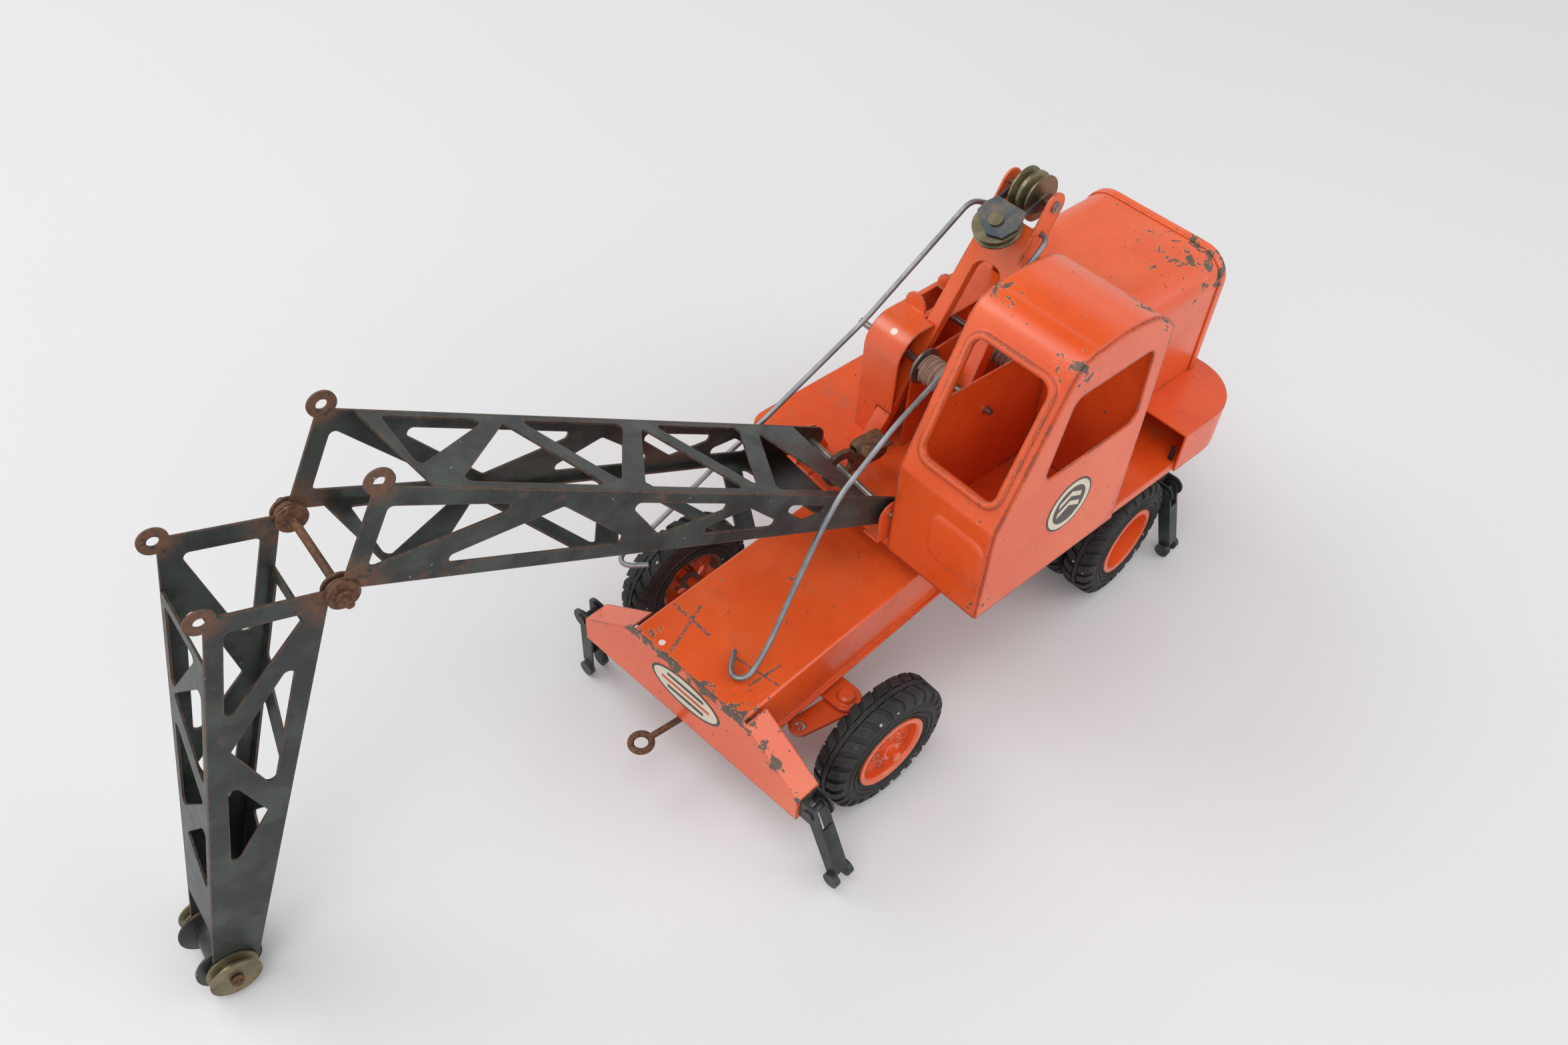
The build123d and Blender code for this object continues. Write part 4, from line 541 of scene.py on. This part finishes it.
def tread_lug(turn, centre, axis, side):
    """One lug through its stations on one side of the tyre; turn is its place round it in pitches."""
    radial = axis.orthogonal().normalized()
    other = axis.cross(radial)
    pitch = 2 * math.pi / LUGS
    vertices = []
    for r, h, sweep in LUG:
        for depth in (0.0, LUG_DEPTH):
            low_h = h - (SHOULDER_TUCK if depth and h > SHOULDER else 0.0)
            for edge in (-LUG_HALF, LUG_HALF):
                a = (turn + sweep + edge) * pitch
                out = radial * math.cos(a) + other * math.sin(a)
                vertices.append(centre + (out * (r - depth) + axis * side * low_h) * MM)
    faces = []
    for j in range(len(LUG) - 1):
        a, b = 4 * j, 4 * j + 4
        faces += [(a, b, b + 1, a + 1), (a + 2, a + 3, b + 3, b + 2), (a, a + 2, b + 2, b),
                  (a + 1, b + 1, b + 3, a + 3)]
    end = 4 * (len(LUG) - 1)
    faces += [(0, 1, 3, 2), (end, end + 2, end + 3, end + 1)]
    return vertices, faces


def tyre(name, centre, axis, body, node):
    """Toy lorry tyre: carcass, sidewall rings, centre rib and swept lugs that wrap on to the shoulder."""
    profile = [(r, -h) for r, h in reversed(CARCASS)] + list(CARCASS[1:])
    parts = [lathe(profile, TURNED_POINTS, centre, axis), lathe(CENTRE_RIB, TURNED_POINTS, centre, axis)]
    for side in (-1, 1):
        foot, ridge = side * RING_FOOT, side * RING_TOP
        for r in SIDEWALL_RINGS:
            ring = ((r - 0.55, foot), (r - 0.35, ridge), (r + 0.35, ridge), (r + 0.55, foot))
            parts.append(lathe(ring if side > 0 else ring[::-1], TURNED_POINTS, centre, axis))
    for side, shift in ((-1, 0.0), (1, 0.5)):
        parts += [tread_lug(i + shift, centre, axis, side) for i in range(LUGS)]
    vertices, faces = merge(parts)
    obj = make_object(name, vertices, faces, "rubber", body=body)
    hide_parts(node)


STEER = math.radians(-5.0)
STUB_AXIS = Vector((-math.sin(STEER), math.cos(STEER), 0))
KING_PIN_Y = 42.0
STUB_LENGTH = 22.0
REAR_AXLE_X = 177.5
REAR_TYRES = (("outer", 65.6), ("inner", 47.6))
for tag, side in (("near", -1), ("far", 1)):
    hub = place(0, side * KING_PIN_Y, TYRE_R) + STUB_AXIS * side * STUB_LENGTH * MM
    tyre(f"tyre_front_{tag}", hub, STUB_AXIS * side, f"front_wheel_{tag}", f"front_tyre_{tag}")
    for row, y in REAR_TYRES:
        hub = place(REAR_AXLE_X, side * y, TYRE_R)
        outward = Vector((0, side, 0))
        tyre(f"tyre_rear_{row}_{tag}", hub, outward, f"rear_duals_{tag}", f"rear_tyre_{row}_{tag}")


# ---------------------------------------------------------------- wound string
CORD_R = 0.62
STEPS_PER_TURN = 22
# each layer: radius, pitch, starting angle and how far its turns wander
LAYERS = ((5.1, 1.28, 0.0, 0.10), (6.05, 1.36, 1.3, 0.30), (6.5, 2.9, 4.0, 0.45))


def winding(name, u, z, v_start, v_end, body, node):
    """Layers of string wound on a drum, each layer one strand, with a few stray crossing turns."""
    first, last = v_start + CORD_R, v_end - CORD_R
    parts = []
    for radius, pitch, phase, wander in LAYERS:
        turns = (last - first) / pitch
        steps = int(turns * STEPS_PER_TURN)
        drift = rng.normal(0, wander, steps + 1)
        drift = np.convolve(drift, np.ones(9) / 9, "same")
        points = []
        for i in range(steps + 1):
            a = phase + 2 * math.pi * turns * i / steps
            v = min(max(first + (last - first) * i / steps + drift[i], first), last)
            r = radius + 0.10 * math.sin(3.1 * a)
            points.append(house(u + r * math.cos(a), v, z + r * math.sin(a)))
        parts.append(tube(points, CORD_R * MM, 6))
    vertices, faces = merge(parts)
    obj = make_object(name, vertices, faces, "string", body=body)
    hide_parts(node)


winding("string_wound_hoist", -27.8, 133.0, 0.3, 14.1, "hoist_drum", "hoist_string")
winding("string_wound_boom", 11.4, 130.0, -15.5, 9.1, "boom_drum", "boom_string")


# ---------------------------------------------------------------- pendant wires
# both wires hang from the gantry head: its middle, and where each wire starts and bends away beside it
HEAD_U, HEAD_V, HEAD_Z = 12.38, 8.7, 196.81
WIRE_START = 9.4
WIRE_BEND = 16.0
WIRE_R = 1.2
WIRE_BEND_REACH = 5.0


def eased(points, reach):
    """Path with each corner replaced by a curve that starts a given distance before it."""
    points = [Vector(p) for p in points]
    curve_points = 9
    path = [points[0]]
    for before, corner, after in zip(points, points[1:], points[2:]):
        back_off = min(reach, (before - corner).length * 0.48)
        step_off = min(reach, (after - corner).length * 0.48)
        first = corner + (before - corner).normalized() * back_off
        last = corner + (after - corner).normalized() * step_off
        for k in range(curve_points):
            t = k / (curve_points - 1)
            path.append(first * (1 - t) ** 2 + corner * 2 * t * (1 - t) + last * t ** 2)
    return path + [points[-1]]


# each route in house millimetres, from the bend beside the head to the hook's end
NEAR_WIRE = ((6.5, -9.0, 194.0), (-52.6, -15.5, 163), (-85, -19.5, 154), (-117, -23.5, 139),
             (-130, -26.0, 127), (-143, -28.0, 107), (-158, -30.5, 84), (-167, -32.5, 76.5),
             (-173.2, -33.6, 74.6), (-177.2, -30.4, 74.4), (-176.2, -26.2, 74.4), (-168, -19.5, 74.4))
FAR_WIRE = ((1.0, 27.0, 202.0), (-50, 33.5, 159), (-101, 43.0, 120), (-118.5, 45.5, 109), (-146, 49.5, 90),
            (-163, 50.8, 80.7), (-171, 52.0, 77.2), (-175.3, 50.0, 76.2), (-175.3, 45.6, 76),
            (-167.3, 39.8, 76))
for tag, side, route in (("near", -1, NEAR_WIRE), ("far", 1, FAR_WIRE)):
    corners = [house(HEAD_U, HEAD_V + side * out, HEAD_Z) for out in (WIRE_START, WIRE_BEND)]
    corners += [house(*p) for p in route]
    vertices, faces = tube(eased(corners, WIRE_BEND_REACH * MM), WIRE_R * MM, 16)
    obj = make_object(f"pendant_wire_{tag}", vertices, faces, "wire", body=f"pendant_{tag}")
    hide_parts(f"pendant_{tag}")


# ---------------------------------------------------------------- decals
DECAL_RISE = 0.12
PRINT_RISE = 0.18         # what is printed over another decal
SUNK = 0.05               # how far each raised piece reaches into the sheet it lies on


def plate(name, outline, inner, origin, x_dir, y_dir, rise, material, body):
    """Thin raised shape on a flat surface, solid or with a hole; outlines are lists of points in mm."""
    normal = x_dir.cross(y_dir)
    count = len(outline)

    def at(p, h):
        return origin + (x_dir * p[0] + y_dir * p[1]) * MM + normal * h * MM

    vertices = [at(p, rise) for p in outline] + [at(p, -SUNK) for p in outline]
    if inner:
        vertices += [at(p, rise) for p in inner] + [at(p, -SUNK) for p in inner]
        faces = []
        for i in range(count):
            n = (i + 1) % count
            faces += [(i, n, 2 * count + n, 2 * count + i), (count + i, count + n, n, i),
                      (2 * count + i, 2 * count + n, 3 * count + n, 3 * count + i)]
    else:
        faces = [tuple(range(count))]
        faces += [(count + i, count + (i + 1) % count, (i + 1) % count, i) for i in range(count)]
    obj = make_object(name, vertices, faces, material, smooth=False, body=body)


def ellipse(a, b, count=64):
    """Points of an ellipse with half axes a and b."""
    angles = [2 * math.pi * k / count for k in range(count)]
    return [(a * math.cos(angle), b * math.sin(angle)) for angle in angles]


def circle(radius):
    return ellipse(radius, radius)


def bumper_decal(name, outline, inner, rise, material):
    """Decal in the middle of the bumper's upright face."""
    plate(name, outline, inner, place(-57.0, 0.4, 56.4), Vector((0, -1, 0)), UP, rise, material, "carrier")


def cab_decal(name, outline, inner, rise, material):
    """Decal on the cab's side."""
    plate(name, outline, inner, house(-31.0, -76.0, 118.5), HOUSE_X, UP, rise, material, "house")


# oval on the bumper: cream with a dark rim and three plain bars
bumper_decal("bumper_oval", ellipse(20.0, 9.2), None, DECAL_RISE, "badge_ground")
bumper_decal("bumper_oval_rim", ellipse(20.8, 9.9), ellipse(19.4, 8.7), PRINT_RISE, "badge_dark")
BAR_HALF_HEIGHT = 1.0
BARS = ((4.2, 11.0, "badge_dark"), (0.0, 14.5, "badge_red"), (-4.2, 11.0, "badge_dark"))
for index, (middle, half_width, ink) in enumerate(BARS):
    low, high = middle - BAR_HALF_HEIGHT, middle + BAR_HALF_HEIGHT
    bar = [(-half_width, low), (half_width, low), (half_width, high), (-half_width, high)]
    bumper_decal(f"bumper_oval_bar_{index}", bar, None, PRINT_RISE, ink)
# round decal on the cab side: ring, disc and a plain chevron pair
cab_decal("cab_disc", circle(14.3), None, DECAL_RISE, "badge_dark")
cab_decal("cab_disc_ring", circle(13.2), circle(10.4), PRINT_RISE, "badge_ground")
CHEVRON = ((-7.2, -2.2), (0.0, 1.6), (7.2, -2.2), (7.2, 0.6), (0.0, 4.4), (-7.2, 0.6))
for index, height in enumerate((3.4, -2.2)):
    chevron = [(x, height + y) for x, y in CHEVRON]
    cab_decal(f"cab_chevron_{index}", chevron, None, PRINT_RISE, "badge_ground")


# ---------------------------------------------------------------- pressings
def rounded_box(width, height, radius, steps=6):
    """Points of a rectangle with rounded corners, centred on zero."""
    points = []
    for cx, cy, start in ((1, 1, 0), (-1, 1, 90), (-1, -1, 180), (1, -1, 270)):
        for k in range(steps + 1):
            a = math.radians(start + 90 * k / steps)
            points.append((cx * (width / 2 - radius) + radius * math.cos(a),
                           cy * (height / 2 - radius) + radius * math.sin(a)))
    return points


def pressing(name, width, height, radius, rise, slope, origin, x_dir, y_dir, material, body):
    """Shallow raised panel whose border slopes down to the sheet it is pressed in."""
    normal = x_dir.cross(y_dir)
    rings = [(0.0, -SUNK), (slope * 0.35, rise * 0.25), (slope * 0.75, rise * 0.85), (slope, rise)]
    vertices = []
    for inset, lift in rings:
        for px, py in rounded_box(width - 2 * inset, height - 2 * inset, max(radius - inset, 0.5)):
            vertices.append(origin + (x_dir * px + y_dir * py + normal * lift) * MM)
    around = len(vertices) // len(rings)
    faces = ring_faces(len(rings), around)
    faces.append(tuple(range((len(rings) - 1) * around, len(rings) * around)))
    obj = make_object(name, vertices, faces, material, body=body)


pressing("cab_lower_pressing", 30, 27, 6, 0.9, 2.2, house(-81.9, -58.5, 110.0), -HOUSE_Y, UP, "cab", "house")
clip = [(-1.2, -5.5), (1.2, -5.5), (1.2, 5.5), (-1.2, 5.5)]
plate("skirt_clip", clip, None, house(61.0, -72.0, 88.0), -HOUSE_Y, UP, 1.2, "black", "house")


# ---------------------------------------------------------------- stage
FLOOR_HALF = 6.0
corners = [(x * FLOOR_HALF, y * FLOOR_HALF, 0) for x, y in ((-1, -1), (1, -1), (1, 1), (-1, 1))]
MATERIALS["floor"] = floor_material()
floor = make_object("floor", corners, [(0, 1, 2, 3)], "floor", smooth=False)


def area_light(name, position, target, size, power):
    """Rectangular white softbox aimed at a point."""
    light = bpy.data.lights.new(name, "AREA")
    light.shape = "RECTANGLE"
    light.size, light.size_y = size
    light.energy = power
    obj = bpy.data.objects.new(name, light)
    bpy.context.scene.collection.objects.link(obj)
    obj.location = position
    obj.rotation_euler = (Vector(target) - Vector(position)).to_track_quat("-Z", "Y").to_euler()


area_light("key_softbox", (-0.5, 1.5, 1.7), (0, 0, 0.05), (1.4, 1.0), 13.0)
area_light("fill_softbox", (-1.6, -1.0, 1.3), (0, 0, 0.05), (1.4, 1.2), 7.5)
area_light("side_softbox", (0.9, -1.7, 1.2), (0, 0, 0.05), (1.4, 1.2), 8.0)
area_light("overhead", (-0.5, 0.0, 2.0), (0, 0, 0), (1.3, 1.3), 9.0)
world = bpy.data.worlds.new("studio")
bpy.context.scene.world = world
world.use_nodes = True
# the studio is white except for a dark part of the ceiling, which the flat tops mirror
DARK_CEILING = Vector((0.3675, 0.339, 0.866)).normalized()
DARK_CORE = 0.955         # cosine of the angle inside which the ceiling is darkest
DARK_RIM = 0.85           # cosine of the angle outside which it is white
DARK_GLOW = 0.08
WHITE_GLOW = 0.78
sky = world.node_tree
sky.nodes["Background"].inputs["Color"].default_value = (1.0, 1.0, 1.0, 1.0)
heading = sky.nodes.new("ShaderNodeTexCoord")
towards = sky.nodes.new("ShaderNodeVectorMath")
towards.operation = "DOT_PRODUCT"
towards.inputs[1].default_value = DARK_CEILING
sky.links.new(heading.outputs["Generated"], towards.inputs[0])
glow = sky.nodes.new("ShaderNodeMapRange")
glow.interpolation_type = "SMOOTHSTEP"
glow.inputs["From Min"].default_value = DARK_CORE
glow.inputs["From Max"].default_value = DARK_RIM
glow.inputs["To Min"].default_value = DARK_GLOW
glow.inputs["To Max"].default_value = WHITE_GLOW
sky.links.new(towards.outputs["Value"], glow.inputs["Value"])
sky.links.new(glow.outputs["Result"], sky.nodes["Background"].inputs["Strength"])
bpy.context.scene.view_settings.view_transform = "Standard"


# ---------------------------------------------------------------- camera
CAMERA_AT = place(-277.8, -237.9, 515.4)
FOCAL_LENGTH = 30.11
SENSOR_WIDTH = 36.0
AZIMUTH = math.radians(-49.247)
ELEVATION = math.radians(47.134)
ROLL = math.radians(4.205)
back = Vector((math.sin(AZIMUTH) * math.cos(ELEVATION), -math.cos(AZIMUTH) * math.cos(ELEVATION),
               math.sin(ELEVATION)))
right = (-back).cross(UP).normalized()
top = right.cross(-back)
tilted_right = right * math.cos(ROLL) + top * math.sin(ROLL)
tilted_top = top * math.cos(ROLL) - right * math.sin(ROLL)
camera_data = bpy.data.cameras.new("camera")
camera_data.sensor_width = SENSOR_WIDTH
camera_data.lens = FOCAL_LENGTH
camera_data.clip_start = 0.01
camera = bpy.data.objects.new("camera", camera_data)
bpy.context.scene.collection.objects.link(camera)
camera.matrix_world = Matrix((
    (tilted_right.x, tilted_top.x, back.x, 0),
    (tilted_right.y, tilted_top.y, back.y, 0),
    (tilted_right.z, tilted_top.z, back.z, 0),
    (0, 0, 0, 1),
))
camera.location = CAMERA_AT
bpy.context.scene.camera = camera
